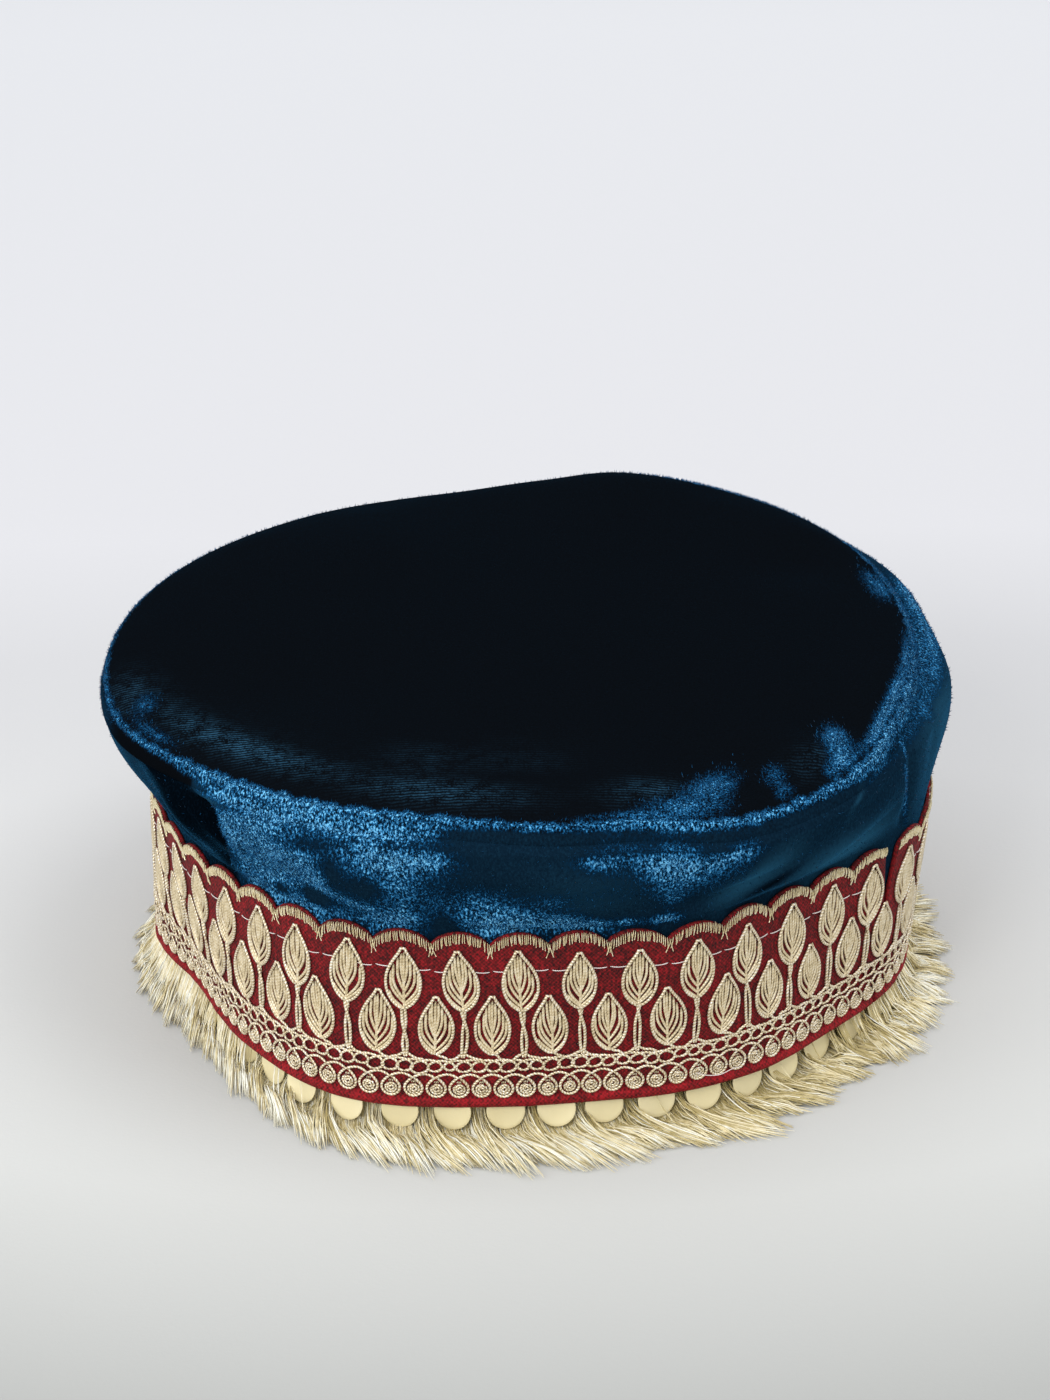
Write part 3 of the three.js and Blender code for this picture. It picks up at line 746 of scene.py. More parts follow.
def catmull(points: Points, per_span: int) -> Points:
    """Draw a Catmull-Rom curve.

    Args:
        points: What it passes through.
        per_span: Steps from each of them to the next.

    Returns:
        The curve's points.
    """
    ends = np.concatenate([2 * points[:1] - points[1:2], points, 2 * points[-1:] - points[-2:-1]])
    t = np.linspace(0, 1, per_span, endpoint=False)[:, None]
    spans = []
    for a, b, c, d in zip(ends[:-3], ends[1:-2], ends[2:-1], ends[3:]):
        cubic = (-a + 3 * b - 3 * c + d) * t**3 + (2 * a - 5 * b + 4 * c - d) * t**2
        spans.append(0.5 * (cubic + (c - a) * t + 2 * b))
    return np.concatenate([*spans, points[-1:]])


# ---- finishes ------------------------------------------------------------------------------------

ADD = {"operation": "ADD"}
TIMES = {"operation": "MULTIPLY"}
TIMES_PLUS = {"operation": "MULTIPLY_ADD"}
SINE = {"operation": "SINE"}
COLOURS = {"data_type": "RGBA"}


def linear(code: str) -> tuple[float, float, float, float]:
    """Turn a colour to Blender's linear one.

    Args:
        code: Its sRGB hex value, such as "#8f1722".

    Returns:
        Red, green, blue and alpha.
    """
    parts = [int(code[i : i + 2], 16) / 255 for i in (1, 3, 5)]
    turned = [c / 12.92 if c <= 0.04045 else ((c + 0.055) / 1.055) ** 2.4 for c in parts]
    return (turned[0], turned[1], turned[2], 1.0)


def feed(tree: Tree, node: Node, inputs: Inputs) -> None:
    """Give a node's inputs their values and links.

    Args:
        tree: The node tree.
        node: Whose inputs are fed.
        inputs: By the input's name or place, a value or an output to link. A node is its first output.
    """
    for key, value in inputs.items() if isinstance(inputs, dict) else enumerate(inputs):
        source = value.outputs[0] if isinstance(value, Node) else value
        if isinstance(source, Socket):
            tree.links.new(source, node.inputs[key])
        else:
            node.inputs[key].default_value = source


def add_node(
    tree: Tree,
    kind: str,
    settings: dict[str, str] | None = None,
    inputs: Inputs = (),
    stops: Sequence[Stop] = (),
) -> Node:
    """Add a node with its settings, values, links and colours.

    Args:
        tree: The material's node tree.
        kind: The node's type, without the "ShaderNode" that all of them start with.
        settings: Values for the node's own properties.
        inputs: What feeds it, as for feed().
        stops: Places and sRGB hex colours, where it is a colour ramp.

    Returns:
        The node.
    """
    node = tree.nodes.new(f"ShaderNode{kind}")
    for key, value in (settings or {}).items():
        setattr(node, key, value)
    feed(tree, node, inputs)
    for spare in range(len(stops) - 2):
        node.color_ramp.elements.new((spare + 1) / len(stops))
    for stop, (position, code) in enumerate(stops):
        node.color_ramp.elements[stop].position = position
        node.color_ramp.elements[stop].color = linear(code)
    return node


class Finish(ABC):
    """A material's make and look."""

    def material(self, name: str) -> bpy.types.Material:
        """Make the material.

        Args:
            name: Its name.

        Returns:
            The finish, ready to put on a mesh.
        """
        made = bpy.data.materials.new(name)
        made.use_nodes = True
        tree = made.node_tree
        feed(tree, tree.nodes["Principled BSDF"], self.sockets(tree))
        return made

    @abstractmethod
    def sockets(self, tree: Tree) -> dict[str, Feed]:
        """Add the finish's nodes.

        Args:
            tree: The material's node tree.

        Returns:
            What feeds each of the shader's sockets.
        """


@dataclass(frozen=True)
class CrushedVelvet(Finish):
    """Polyester velvet, knitted and crushed.

    Pile that stands up swallows the light, and pile pressed flat gives it back as a bright blue
    fleck, so one cloth shows near-black, deep teal and bright blue side by side. That light is
    painted into the colour: flecks of painted highlight on crushed places, a painted sheen of
    lighter teal where the pile lies smooth, and near-black painted shade in the hollow and on the tip.

    Attributes:
        ground: Colours of the standing pile, from near-black where it is upright, a painted shade, to lighter
            teal where it lies smooth, a painted sheen.
        faint: Colour of the knit's rows where the pile is thin.
        sheen: How much the standing pile shines at its edges.
        fleck_mm: Width of one fleck of pressed pile.
        clump_mm: Width of a clump of flecks.
        row_mm: From one row of the knit to the next.
        flecks: Colours of the pressed pile, from its roots to its ends, a painted highlight.
    """

    ground: tuple[Stop, ...]
    faint: str
    sheen: float
    fleck_mm: float = 0.62
    clump_mm: float = 4.0
    row_mm: float = 1.1
    flecks: tuple[Stop, ...] = (
        (0.0, "#041424"), (0.28, "#082a45"), (0.52, "#236594"), (0.76, "#4796c8"), (1.0, "#78c4ec"),
    )  # fmt: skip

    def sockets(self, tree: Tree) -> dict[str, Feed]:
        """Add standing pile with its painted shade and sheen, its faint rows and the pressed pile's painted
        highlight on the crushed places.
        """
        spot = add_node(tree, "TexCoord").outputs["Object"]
        # The pile's flecks stand up the wall, so the noise is drawn out in height.
        drawn = add_node(tree, "Mapping", None, {"Vector": spot, "Scale": (1.3, 1.3, 0.8)})
        fleck, clump = (
            add_node(tree, "TexNoise", None, {"Vector": at, "Scale": 1 / (size * MM), "Roughness": 0.6})
            for at, size in ((drawn, self.fleck_mm), (spot, self.clump_mm))
        )
        crush_and_sheen, gloss, rows = (
            add_node(tree, "Attribute", {"attribute_name": key}).outputs["Fac"]
            for key in ("crush_and_sheen", "smooth", "faint")
        )
        # The standing pile's ground is painted: lighter teal sheen where it lies smooth, near-black shade in
        # the hollow.
        shine = add_node(tree, "Math", ADD, (gloss, -0.2))
        shine = add_node(tree, "Math", TIMES_PLUS, (fleck, 0.4, shine))
        standing = add_node(tree, "ValToRGB", None, {"Fac": shine}, self.ground)
        worn = add_node(tree, "Math", TIMES_PLUS, (clump, 3.2, -2.7))
        worn = add_node(tree, "Math", TIMES_PLUS, (fleck, 3.4, worn))
        line = add_node(tree, "Math", TIMES, (self._rows(tree, spot, clump), rows))
        line = add_node(tree, "Math", TIMES, (line, worn))
        ground = add_node(tree, "Mix", COLOURS, {0: line, 6: standing, 7: linear(self.faint)}).outputs[2]
        # The crushed places are painted lighter, in flecks of pressed pile: a painted sheen and highlight.
        broken = add_node(tree, "Math", TIMES_PLUS, (fleck, 6.2, -3.06))
        broken = add_node(tree, "Math", TIMES_PLUS, (clump, 1.3, broken))
        lit = add_node(tree, "Math", TIMES, (broken, crush_and_sheen))
        pressed = add_node(tree, "ValToRGB", None, {"Fac": lit}, self.flecks)
        smooth_step = {"interpolation_type": "SMOOTHSTEP"}
        share = add_node(tree, "MapRange", smooth_step, {"Value": lit, "From Min": 0.0, "From Max": 0.28})
        return {
            "Base Color": add_node(tree, "Mix", COLOURS, {0: share, 6: ground, 7: pressed}).outputs[2],
            "Normal": add_node(tree, "Bump", None, {"Strength": 0.5, "Distance": 0.4 * MM, "Height": fleck}),
            "Roughness": 0.7,
            "IOR": 1.5,
            "Specular IOR Level": 0.0,
            "Sheen Weight": self.sheen,
            "Sheen Roughness": 0.22,
            "Sheen Tint": linear("#3f97cf"),
        }

    def _rows(self, tree: Tree, spot: Socket, clump: Node) -> Node:
        """Add the knit's rows, thin lines across the cap that waver a little.

        Args:
            tree: The material's node tree.
            spot: Where a point of the surface is.
            clump: The noise that makes them waver.

        Returns:
            The node whose value is high on a row.
        """
        depth = add_node(tree, "SeparateXYZ", None, {"Vector": spot}).outputs["Y"]
        waver = add_node(tree, "Math", TIMES, (clump, 9.0))
        phase = add_node(tree, "Math", TIMES_PLUS, (depth, 2 * math.pi / (self.row_mm * MM), waver))
        return add_node(tree, "Math", TIMES_PLUS, (add_node(tree, "Math", SINE, (phase,)), 0.7, 0.55))


@dataclass(frozen=True)
class PileTuft(Finish):
    """The velvet's own polyester fibres, standing in small tufts.

    Each tuft catches the light by itself, which gives the crushed places their sparkle. Its colour is
    painted too: darker at its root, a painted shade, and lighter where its place is crushed, a
    painted highlight.
    """

    root: str = "#03101f"
    middle: str = "#1b5d8e"
    end: str = "#64b6e4"

    def sockets(self, tree: Tree) -> dict[str, Feed]:
        """Add a colour for each tuft's shade value, painted darker at its root and lighter on crushed places.
        """
        shade = add_node(tree, "Attribute", {"attribute_name": "shade"}).outputs["Fac"]
        stops = ((0.0, self.root), (0.5, self.middle), (1.0, self.end))
        return {
            "Base Color": add_node(tree, "ValToRGB", None, {"Fac": shade}, stops),
            "Roughness": 0.42,
            "IOR": 1.5,
            "Specular IOR Level": 0.3,
            "Specular Tint": linear("#5fb4ee"),
        }


@dataclass(frozen=True)
class WovenCotton(Finish):
    """Red cotton, plain woven, dyed in the yarn.

    The threads run round and up the band, dark in the holes between them, a painted shade, with
    slubs in the upright ones and fuzz that keeps the surface dull. The turned hem is painted
    lighter, a painted highlight.
    """

    hollow: str = "#1e0104"
    colour: str = "#5c0709"
    lit: str = "#9c121c"
    thread_mm: float = 1.0  # twice the real pitch, so that the weave shows
    slubs_per_mm: tuple[float, float, float] = (1.5, 0.3, 1.0)
    fuzz_per_mm: float = 1.4
    patches_per_mm: float = 0.09

    def sockets(self, tree: Tree) -> dict[str, Feed]:
        """Add the weave with painted shade in its holes, its slubs and fuzz, uneven dye and the turned hem's
        painted highlight.
        """
        run = add_node(tree, "UVMap", {"uv_map": "run"})
        split = add_node(tree, "SeparateXYZ", None, {"Vector": run}).outputs
        turns = 2 * math.pi / self.thread_mm
        phases = (add_node(tree, "Math", TIMES, (split[way], turns)) for way in "XY")
        warp, weft = (add_node(tree, "Math", SINE, (phase,)) for phase in phases)
        woven = add_node(tree, "Math", TIMES, (warp, weft))
        spot = add_node(tree, "TexCoord").outputs["Object"]
        drawn = add_node(tree, "Mapping", None, {"Vector": run, "Scale": self.slubs_per_mm})
        fuzz, patch, slub = (
            add_node(tree, "TexNoise", None, {"Vector": at, "Scale": scale, "Detail": detail})
            for at, scale, detail in (
                (spot, self.fuzz_per_mm / MM, 3.0),
                (spot, self.patches_per_mm / MM, 2.0),
                (drawn, 1.0, 2.0),
            )
        )
        # The weave's holes come out darker in the tone, a painted shade.
        height = add_node(tree, "Math", TIMES_PLUS, (woven, 0.14, fuzz))
        hem = add_node(tree, "MapRange", None, {"Value": split["Y"], "From Min": 3.6, "From Max": 2.6})
        tone = height
        # How much each of them lightens the cloth, and the value at which it changes nothing. The
        # hem's lightening is a painted highlight; the patches and slubs are the cloth's own.
        for part, weight, rest in ((patch, 0.35, 0.5), (slub, 0.55, 0.5), (hem, 0.14, 0.0)):
            off = add_node(tree, "Math", ADD, (part, -rest))
            tone = add_node(tree, "Math", TIMES_PLUS, (off, weight, tone))
        stops = ((0.22, self.hollow), (0.5, self.colour), (0.85, self.lit))
        return {
            "Base Color": add_node(tree, "ValToRGB", None, {"Fac": tone}, stops),
            "Normal": add_node(tree, "Bump", None, {"Distance": 0.3 * MM, "Height": height}),
            "Roughness": 0.86,
            "IOR": 1.5,
            "Specular IOR Level": 0.3,
            "Sheen Weight": 0.05,
            "Sheen Tint": linear("#d0303c"),
        }


@dataclass(frozen=True)
class SpunThread(Finish):
    """Thread or cord of twisted plies.

    Zari is flat metal tape wound on a cotton core: pale antique gold, with white glints where
    a turn of the tape faces the light. Plain cotton thread has the same twist without the metal.
    The twist is painted: a painted shade in the grooves and a painted highlight on the crowns.

    Attributes:
        dark: Colour in the grooves between turns, a painted shade.
        base: Its own colour.
        light: Colour of the turns' crowns, a painted highlight.
        twist_mm: Length of one turn along the strand, coarser than the real one so that it shows.
        metallic: How much of it is metal.
        roughness: Of the turns.
        sheen: Soft light at its edges.
        relief: How deep its turns show, in the bump and in the painted shade and highlight.
        grain_per_mm: Uneven places to the millimetre.
    """

    dark: str
    base: str
    light: str
    twist_mm: float
    metallic: float
    roughness: float
    sheen: float = 0.0
    relief: float = 1.0
    grain_per_mm: float = 0.7

    def sockets(self, tree: Tree) -> dict[str, Feed]:
        """Add the turns of the twist, painted darker in the grooves and lighter on the crowns, and a grain
        along them.
        """
        run = add_node(tree, "UVMap", {"uv_map": "run"})
        split = add_node(tree, "SeparateXYZ", None, {"Vector": run}).outputs
        turned = add_node(tree, "Math", TIMES_PLUS, (split["Y"], 1 / self.twist_mm, split["X"]))
        wave = add_node(tree, "Math", SINE, (add_node(tree, "Math", TIMES, (turned, 2 * math.pi)),))
        spot = add_node(tree, "TexCoord").outputs["Object"]
        grain = add_node(tree, "TexNoise", None, {"Vector": spot, "Scale": self.grain_per_mm / MM})
        tone = add_node(tree, "Math", TIMES_PLUS, (grain, 0.5, 0.28))
        # The twist paints the grooves darker and the crowns lighter: painted shade and painted highlight.
        tone = add_node(tree, "Math", TIMES_PLUS, (wave, 0.17 * self.relief, tone))
        stops = ((0.22, self.dark), (0.5, self.base), (0.78, self.light))
        raised = {"Strength": 0.7 * self.relief, "Distance": 0.1 * MM, "Height": wave}
        return {
            "Base Color": add_node(tree, "ValToRGB", None, {"Fac": tone}, stops),
            "Normal": add_node(tree, "Bump", None, raised),
            "Metallic": self.metallic,
            "Roughness": self.roughness,
            "Sheen Weight": self.sheen,
        }


@dataclass(frozen=True)
class FringeThread(Finish):
    """Bright viscose-and-foil thread, cut at its ends.

    The single threads differ a little in tone and shine along their length, from olive, a painted
    shade, to white gold on the crowns, a painted highlight.
    """

    shade: str = "#bdab70"
    base: str = "#f5e8bb"
    light: str = "#fffff2"
    grain_per_mm: float = 0.42

    def sockets(self, tree: Tree) -> dict[str, Feed]:
        """Add each thread's own tone, with its painted shade and light, broken by a grain."""
        own = add_node(tree, "Attribute", {"attribute_name": "shade"}).outputs["Fac"]
        spot = add_node(tree, "TexCoord").outputs["Object"]
        grain = add_node(tree, "TexNoise", None, {"Vector": spot, "Scale": self.grain_per_mm / MM})
        tone = add_node(tree, "Math", ADD, (grain, -0.5))
        tone = add_node(tree, "Math", TIMES_PLUS, (tone, 0.7, own))
        stops = ((0.1, self.shade), (0.45, self.base), (0.9, self.light))
        return {
            "Base Color": add_node(tree, "ValToRGB", None, {"Fac": tone}, stops),
            "Roughness": 0.24,
            "Sheen Weight": 0.5,
            "Sheen Roughness": 0.4,
            "Sheen Tint": linear("#fff4cf"),
        }


@dataclass(frozen=True)
class SpangleFoil(Finish):
    """Polyester foil spangle, die cut, with a satin face.

    It gives back the room as a soft even cream.
    """

    worn: str = "#d3c490"
    base: str = "#e9ddb1"
    light: str = "#f0e6c0"
    clouds_per_mm: float = 0.16
    scuffs_per_mm: float = 2.6

    def sockets(self, tree: Tree) -> dict[str, Feed]:
        """Add each spangle's own tone, faint clouds on it and fine scuffs."""
        spot = add_node(tree, "TexCoord").outputs["Object"]
        cloud, scuff = (
            add_node(tree, "TexNoise", None, {"Vector": spot, "Scale": per_mm / MM, "Detail": detail})
            for per_mm, detail in ((self.clouds_per_mm, 3.0), (self.scuffs_per_mm, 2.0))
        )
        own = add_node(tree, "Attribute", {"attribute_name": "shade"}).outputs["Fac"]
        tone = add_node(tree, "Math", TIMES_PLUS, (cloud, 0.35, own))
        stops = ((0.1, self.worn), (0.7, self.base), (1.0, self.light))
        return {
            "Base Color": add_node(tree, "ValToRGB", None, {"Fac": tone}, stops),
            "Normal": add_node(tree, "Bump", None, {"Strength": 0.12, "Distance": 0.1 * MM, "Height": scuff}),
            "Metallic": 0.15,
            "Roughness": 0.42,
        }


@dataclass(frozen=True)
class TableCloth(Finish):
    """White cotton sheet over a table, ironed.

    It is nearly even, with a faint thread texture, and turns to the paler lavender of the room
    behind it.
    """

    near: str = "#a4a5a2"
    round_cap: str = "#c5c6c3"
    far: str = "#cacacc"
    farthest: str = "#d3d4d6"
    threads_per_mm: float = 0.9

    def sockets(self, tree: Tree) -> dict[str, Feed]:
        """Add a floor that is painted paler round the cap, a painted light against the cap's shadow, and
        pales to the back, and its faint weave.
        """
        spot = add_node(tree, "TexCoord").outputs["Object"]
        depth = add_node(tree, "SeparateXYZ", None, {"Vector": spot}).outputs["Y"]
        # Metres behind the cap's middle, where the near cloth turns to the far one and that one pales.
        back, beyond = (
            add_node(tree, "MapRange", None, {"Value": depth, "From Min": start, "From Max": stop})
            for start, stop in ((-0.12, 0.27), (0.3, 0.9))
        )
        distant = add_node(tree, "ValToRGB", None, {"Fac": beyond}, ((0.0, self.far), (1.0, self.farthest)))
        # Round the cap the cloth is painted paler, a painted light that lifts the cap's shadow.
        squeezed = add_node(tree, "VectorMath", TIMES, (spot, (0.6, 1.0, 1.0)))
        away = add_node(tree, "VectorMath", {"operation": "LENGTH"}, (squeezed,)).outputs["Value"]
        near = add_node(tree, "ValToRGB", None, {"Fac": away}, ((0.12, self.round_cap), (0.2, self.near)))
        weave = add_node(tree, "TexNoise", None, {"Vector": spot, "Scale": self.threads_per_mm / MM})
        return {
            "Base Color": add_node(tree, "Mix", COLOURS, {0: back, 6: near, 7: distant}).outputs[2],
            "Normal": add_node(tree, "Bump", None, {"Strength": 0.12, "Distance": 0.3 * MM, "Height": weave}),
            "Roughness": 0.9,
            "Specular IOR Level": 0.1,
        }


# ---- velvet crown --------------------------------------------------------------------------------


@dataclass
class VelvetCrown:
    """The cap's side wall and tip, with the pile that shows on their crushed places."""

    form: CapForm
    columns: int = 600
    tufts_on_wall: int = 40000
    tufts_on_tip: int = 26000
    tuft_length: float = 0.68
    tuft_base: float = 0.125
    tuft_root: float = 0.1
    calm: float = 0.35
    tip_calm: float = 0.1
    seed: int = 11

    def build(self) -> list[Piece]:
        """Make and dress the crown's pieces.

        Returns:
            The tip, the wall and the pile on each.
        """
        # The wall's ground: near-black at 0, a painted shade in the hollow behind the big fold; the stops
        # named worn are the standing pile and, at 1, the lighter teal of smooth pile, a painted sheen.
        worn = ((0.35, "#0a1d2c"), (1.0, "#1e4a63"))
        side = CrushedVelvet(((0.0, "#02060b"), *worn), "#123a56", sheen=0.35)
        # The tip is a copy of the same velvet painted near-black, a painted shade, with little sheen.
        dark = CrushedVelvet(((0.0, "#07090c"), (0.18, "#080c11"), *worn), "#274c64", sheen=0.04)
        wall = self._wall().piece("velvet_side", side.material("crushed_velvet_side"))
        tip = self._tip().piece("velvet_tip", dark.material("crushed_velvet_tip"))
        tuft = PileTuft().material("velvet_pile")
        wall_pile = self._wall_pile().piece("side_pile", tuft, smooth=False)
        tip_pile = self._tip_pile().piece("tip_pile", tuft, smooth=False)
        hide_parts("crown_side")
        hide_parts("crown_tip")
        for pieces, slot in (((wall, wall_pile), "side_velvet"), ((tip, tip_pile), "tip_velvet")):
            for piece in pieces:
                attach(piece, "root")
        return [tip, wall, wall_pile, tip_pile]

    def wall_crush_and_sheen(self, angle: Points, rise: Points) -> Points:
        """Tell where the side wall's pile is crushed and painted lighter, a painted sheen.

        Args:
            angle: Degrees round the cap.
            rise: As for CapForm.wall.

        Returns:
            How crushed it is, 0 to 1.
        """
        marked = np.clip(total(WALL_CRUSH_AND_SHEEN, angle, rise), 0.0, 1.0)
        # A painted highlight runs under the tip's edge; in the hollow the painted sheen is dimmed to painted
        # shade.
        top = self.form.rim_light(angle) * ease(self.form.rim_depth(angle), 0.8, 1.3) * ease(rise, 1.3, 1.9)
        hollow = self._hollow(angle, rise)
        return np.maximum(marked * (1 - hollow), top * (1 - 0.8 * hollow))

    def wall_smooth_sheen(self, angle: Points, rise: Points) -> Points:
        """Return how smooth the side wall's uncrushed pile lies, 0 to 1: high is a painted sheen, 0 a painted
        shade.
        """
        smooth = self.calm + total(WALL_SMOOTH_SHEEN, angle, rise)
        return np.clip(smooth - self.calm * self._hollow(angle, rise), 0.0, 1.0)

    def _hollow(self, angle: Points, rise: Points) -> Points:
        """Return how far a place lies in the hollow behind the big fold, 0 to 1, where the velvet is painted
        dark, a painted shade.
        """
        behind = -self.form.past_fold(angle, rise)
        return ease(behind, -0.3, 0.5) * (1 - ease(behind, 16, 26))

    def _wall(self) -> Surface:
        """Make the side wall, a closed shell of velvet with its backing.

        Returns:
            The shell.
        """
        form = self.form
        angles = np.arange(self.columns) * 360.0 / self.columns
        columns = angles[:, None]
        hidden, low, high = [-1, -0.6, -0.25], np.linspace(0, 1, 30), np.linspace(1, 1.96, 12)[1:]
        rises = np.concatenate([hidden, low, high, [1.99, 2]])
        outer = form.wall(columns, rises)
        inner_rises = np.array([2, 1.7, 1.35, 1, 0.75, 0.5, 0.25, 0, -0.4, -1])
        inner = form.wall(columns, inner_rises) - place(angles, form.velvet, 0.0)[:, None]
        inner[:, 0, 2] = outer[:, -1, 2]
        rows = np.concatenate([rises, inner_rises]) + 0 * columns
        # Painted light: crushed places are painted lighter as a sheen.
        crush_and_sheen = self.wall_crush_and_sheen(columns, rows)
        # Smooth pile is painted lighter teal, a painted sheen, and the hollow dark, a painted shade.
        smooth = self.wall_smooth_sheen(columns, rows)
        crush_and_sheen[:, len(rises) :] = 0
        smooth[:, len(rises) :] = self.calm
        values = {"crush_and_sheen": crush_and_sheen, "smooth": smooth, "faint": np.zeros(crush_and_sheen.shape)}
        return ring_shell(angles, np.concatenate([outer, inner], axis=1), values)

    def tip_crush_and_sheen(self, angle: Points, share: Points) -> Points:
        """Tell where the tip's pile is crushed and painted lighter, a painted sheen, with a painted highlight
        at its edge.

        Args:
            angle: Degrees round the cap.
            share: As for CapForm.tip.

        Returns:
            How crushed it is, 0 to 1.
        """
        start = 0.987 - 0.014 * flicker(angle) * self.form.rim_light(angle)
        edge = 0.85 * self.form.rim_light(angle) * ease(share, start, start + 0.016)
        return np.clip(np.maximum(total(TIP_CRUSH_AND_SHEEN, angle, share), edge), 0.0, 1.0)

    def roll_crush_and_sheen(self, angle: Points, share: Points) -> Points:
        """Tell where the rolled edge's pile is crushed and painted lighter: a painted highlight at its crest,
        blending down to the wall's painted sheen.

        Args:
            angle: Degrees round the cap.
            share: As for CapForm.roll.

        Returns:
            How crushed it is, 0 to 1.
        """
        depth = self.form.rim_depth(angle) * (0.8 + 0.4 * flicker(angle + 7.0))
        down = ease(share / depth, 0.3, 1.0)
        top = 0.72 * self.form.rim_light(angle)
        return top * (1 - down) + self.wall_crush_and_sheen(angle, 2.0 + 0 * angle) * down

    def _tip(self) -> Surface:
        """Make the tip, its edge rolled down to the seam.

        Returns:
            A closed shell.
        """
        form = self.form
        angles = np.arange(self.columns) * 360.0 / self.columns
        columns = angles[:, None]
        flat, bend, edge = np.linspace(0.12, 0.8, 10), np.linspace(0.82, 0.955, 10), np.linspace(0.965, 1, 9)
        shares = np.concatenate([[0.03], flat, bend, edge])
        rolled = np.concatenate([np.linspace(0, 0.96, 8)[1:], [0.99, 1]])
        under = np.array([0.985, 0.96, 0.88, 0.6, 0.3, 0.03])
        upper = form.tip(columns, shares)
        roll = form.roll(columns, rolled)
        lower = form.tip(columns, under)
        lower[..., 2] -= form.velvet
        lower[:, 0, 2] = roll[:, -1, 2]
        outline = np.concatenate([upper, roll, lower], axis=1)[:, ::-1]
        # The tip's edge and its roll are painted lighter, a painted highlight; the tip's ground stays
        # near-black, a painted shade, and the roll blends to the wall's painted sheen.
        under_crush = np.zeros(lower.shape[:2])
        top_crush_and_sheen = self.tip_crush_and_sheen(columns, shares)
        roll_crush_and_sheen = self.roll_crush_and_sheen(columns, rolled)
        crush_and_sheen = np.concatenate([top_crush_and_sheen, roll_crush_and_sheen, under_crush], axis=1)[:, ::-1]
        faint = np.clip(total(TIP_FAINT, columns, shares), 0, 1)
        faint = np.concatenate([faint, 0 * roll_crush_and_sheen, under_crush], axis=1)[:, ::-1]
        met = self.wall_smooth_sheen(columns, 2.0 + 0 * rolled)
        roll_smooth = self.tip_calm + (met - self.tip_calm) * ease(rolled, 0.0, 0.45)
        smooth = np.concatenate([self.tip_calm + 0 * top_crush_and_sheen, roll_smooth, under_crush], axis=1)[:, ::-1]
        values = {"crush_and_sheen": crush_and_sheen, "smooth": smooth, "faint": faint}
        return self._closed_middle(ring_shell(angles, outline, values))

    def _closed_middle(self, shell: Surface) -> Surface:
        """Fill the small hole at the tip's middle, above and below.

        Args:
            shell: The tip with the hole.

        Returns:
            The tip without it.
        """
        rows = len(shell.points) // self.columns
        i = np.arange(self.columns)
        nxt = (i + 1) % self.columns
        is_joint = (shell.faces % rows == rows - 1).sum(axis=1) + (shell.faces % rows == 0).sum(axis=1) == 4
        fans = []
        middles = []
        for row, flip in ((0, False), (rows - 1, True)):
            middle = len(shell.points) + len(middles)
            middles.append(shell.points[row::rows].mean(axis=0))
            a, b = (i, nxt) if flip else (nxt, i)
            fans.append(np.stack([a * rows + row, b * rows + row, 0 * i + middle, 0 * i - 1], axis=-1))
        faces = np.concatenate([shell.faces[~is_joint], *fans])
        values = {k: np.concatenate([v, [v[0], v[rows - 1]]]) for k, v in shell.values.items()}
        return Surface(np.concatenate([shell.points, middles]), faces, values)

    def _wall_pile(self) -> Surface:
        """Make the wall's pile, close where it is crushed.

        Returns:
            The tufts.
        """
        random = np.random.default_rng(self.seed)
        tries = self.tufts_on_wall * 6
        angle = random.uniform(-180, 180, tries)
        # The wall is far taller below its swell than above it.
        is_low = random.random(tries) < 0.84
        rise = np.where(is_low, random.uniform(0.02, 1, tries), random.uniform(1, 1.98, tries))
        keep = random.random(tries) < 0.012 + 0.99 * self.wall_crush_and_sheen(angle, rise) ** 1.4
        angle, rise = angle[keep][: self.tufts_on_wall], rise[keep][: self.tufts_on_wall]
        crush_and_sheen = self.wall_crush_and_sheen(angle, rise)
        here = self.form.wall(angle, rise)
        round_way = unit(self.form.wall(angle + 0.1, rise) - here)
        above = self.form.wall(angle, np.minimum(rise + 0.01, 2.0))
        up_way = unit(above - self.form.wall(angle, rise - 0.01))
        return self._tufts(random, here, round_way, up_way, crush_and_sheen)

    def _tip_pile(self) -> Surface:
        """Make the tip's pile, along its rolled edge and on its crushed places.

        Returns:
            The tufts.
        """
        random = np.random.default_rng(self.seed + 1)
        on_roll = self.tufts_on_tip
        angle = random.uniform(-180, 180, on_roll)
        share = random.beta(1.0, 1.6, on_roll) * 0.97
        here = self.form.roll(angle, share)
        round_way = unit(self.form.roll(angle + 0.1, share) - here)
        up_way = -unit(self.form.roll(angle, share + 0.02) - here)
        crush_and_sheen = self.roll_crush_and_sheen(angle, share)
        keep = random.random(on_roll) < crush_and_sheen**1.3
        edge = self._tufts(random, here[keep], round_way[keep], up_way[keep], crush_and_sheen[keep] * 0.6)
        tries = self.tufts_on_tip * 12
        angle = random.uniform(-180, 180, tries)
        share = np.sqrt(random.uniform(0.5, 1, tries))
        keep = random.random(tries) < self.tip_crush_and_sheen(angle, share) ** 1.3
        rest = self.tufts_on_tip - len(edge.points) // 4
        angle, share = angle[keep][:rest], share[keep][:rest]
        here = self.form.tip(angle, share)
        round_way = unit(self.form.tip(angle + 0.1, share) - here)
        up_way = -unit(self.form.tip(angle, share) - self.form.tip(angle, share - 0.004))
        flat = self._tufts(random, here, round_way, up_way, self.tip_crush_and_sheen(angle, share) * 0.8)
        return join_surfaces([edge, flat])

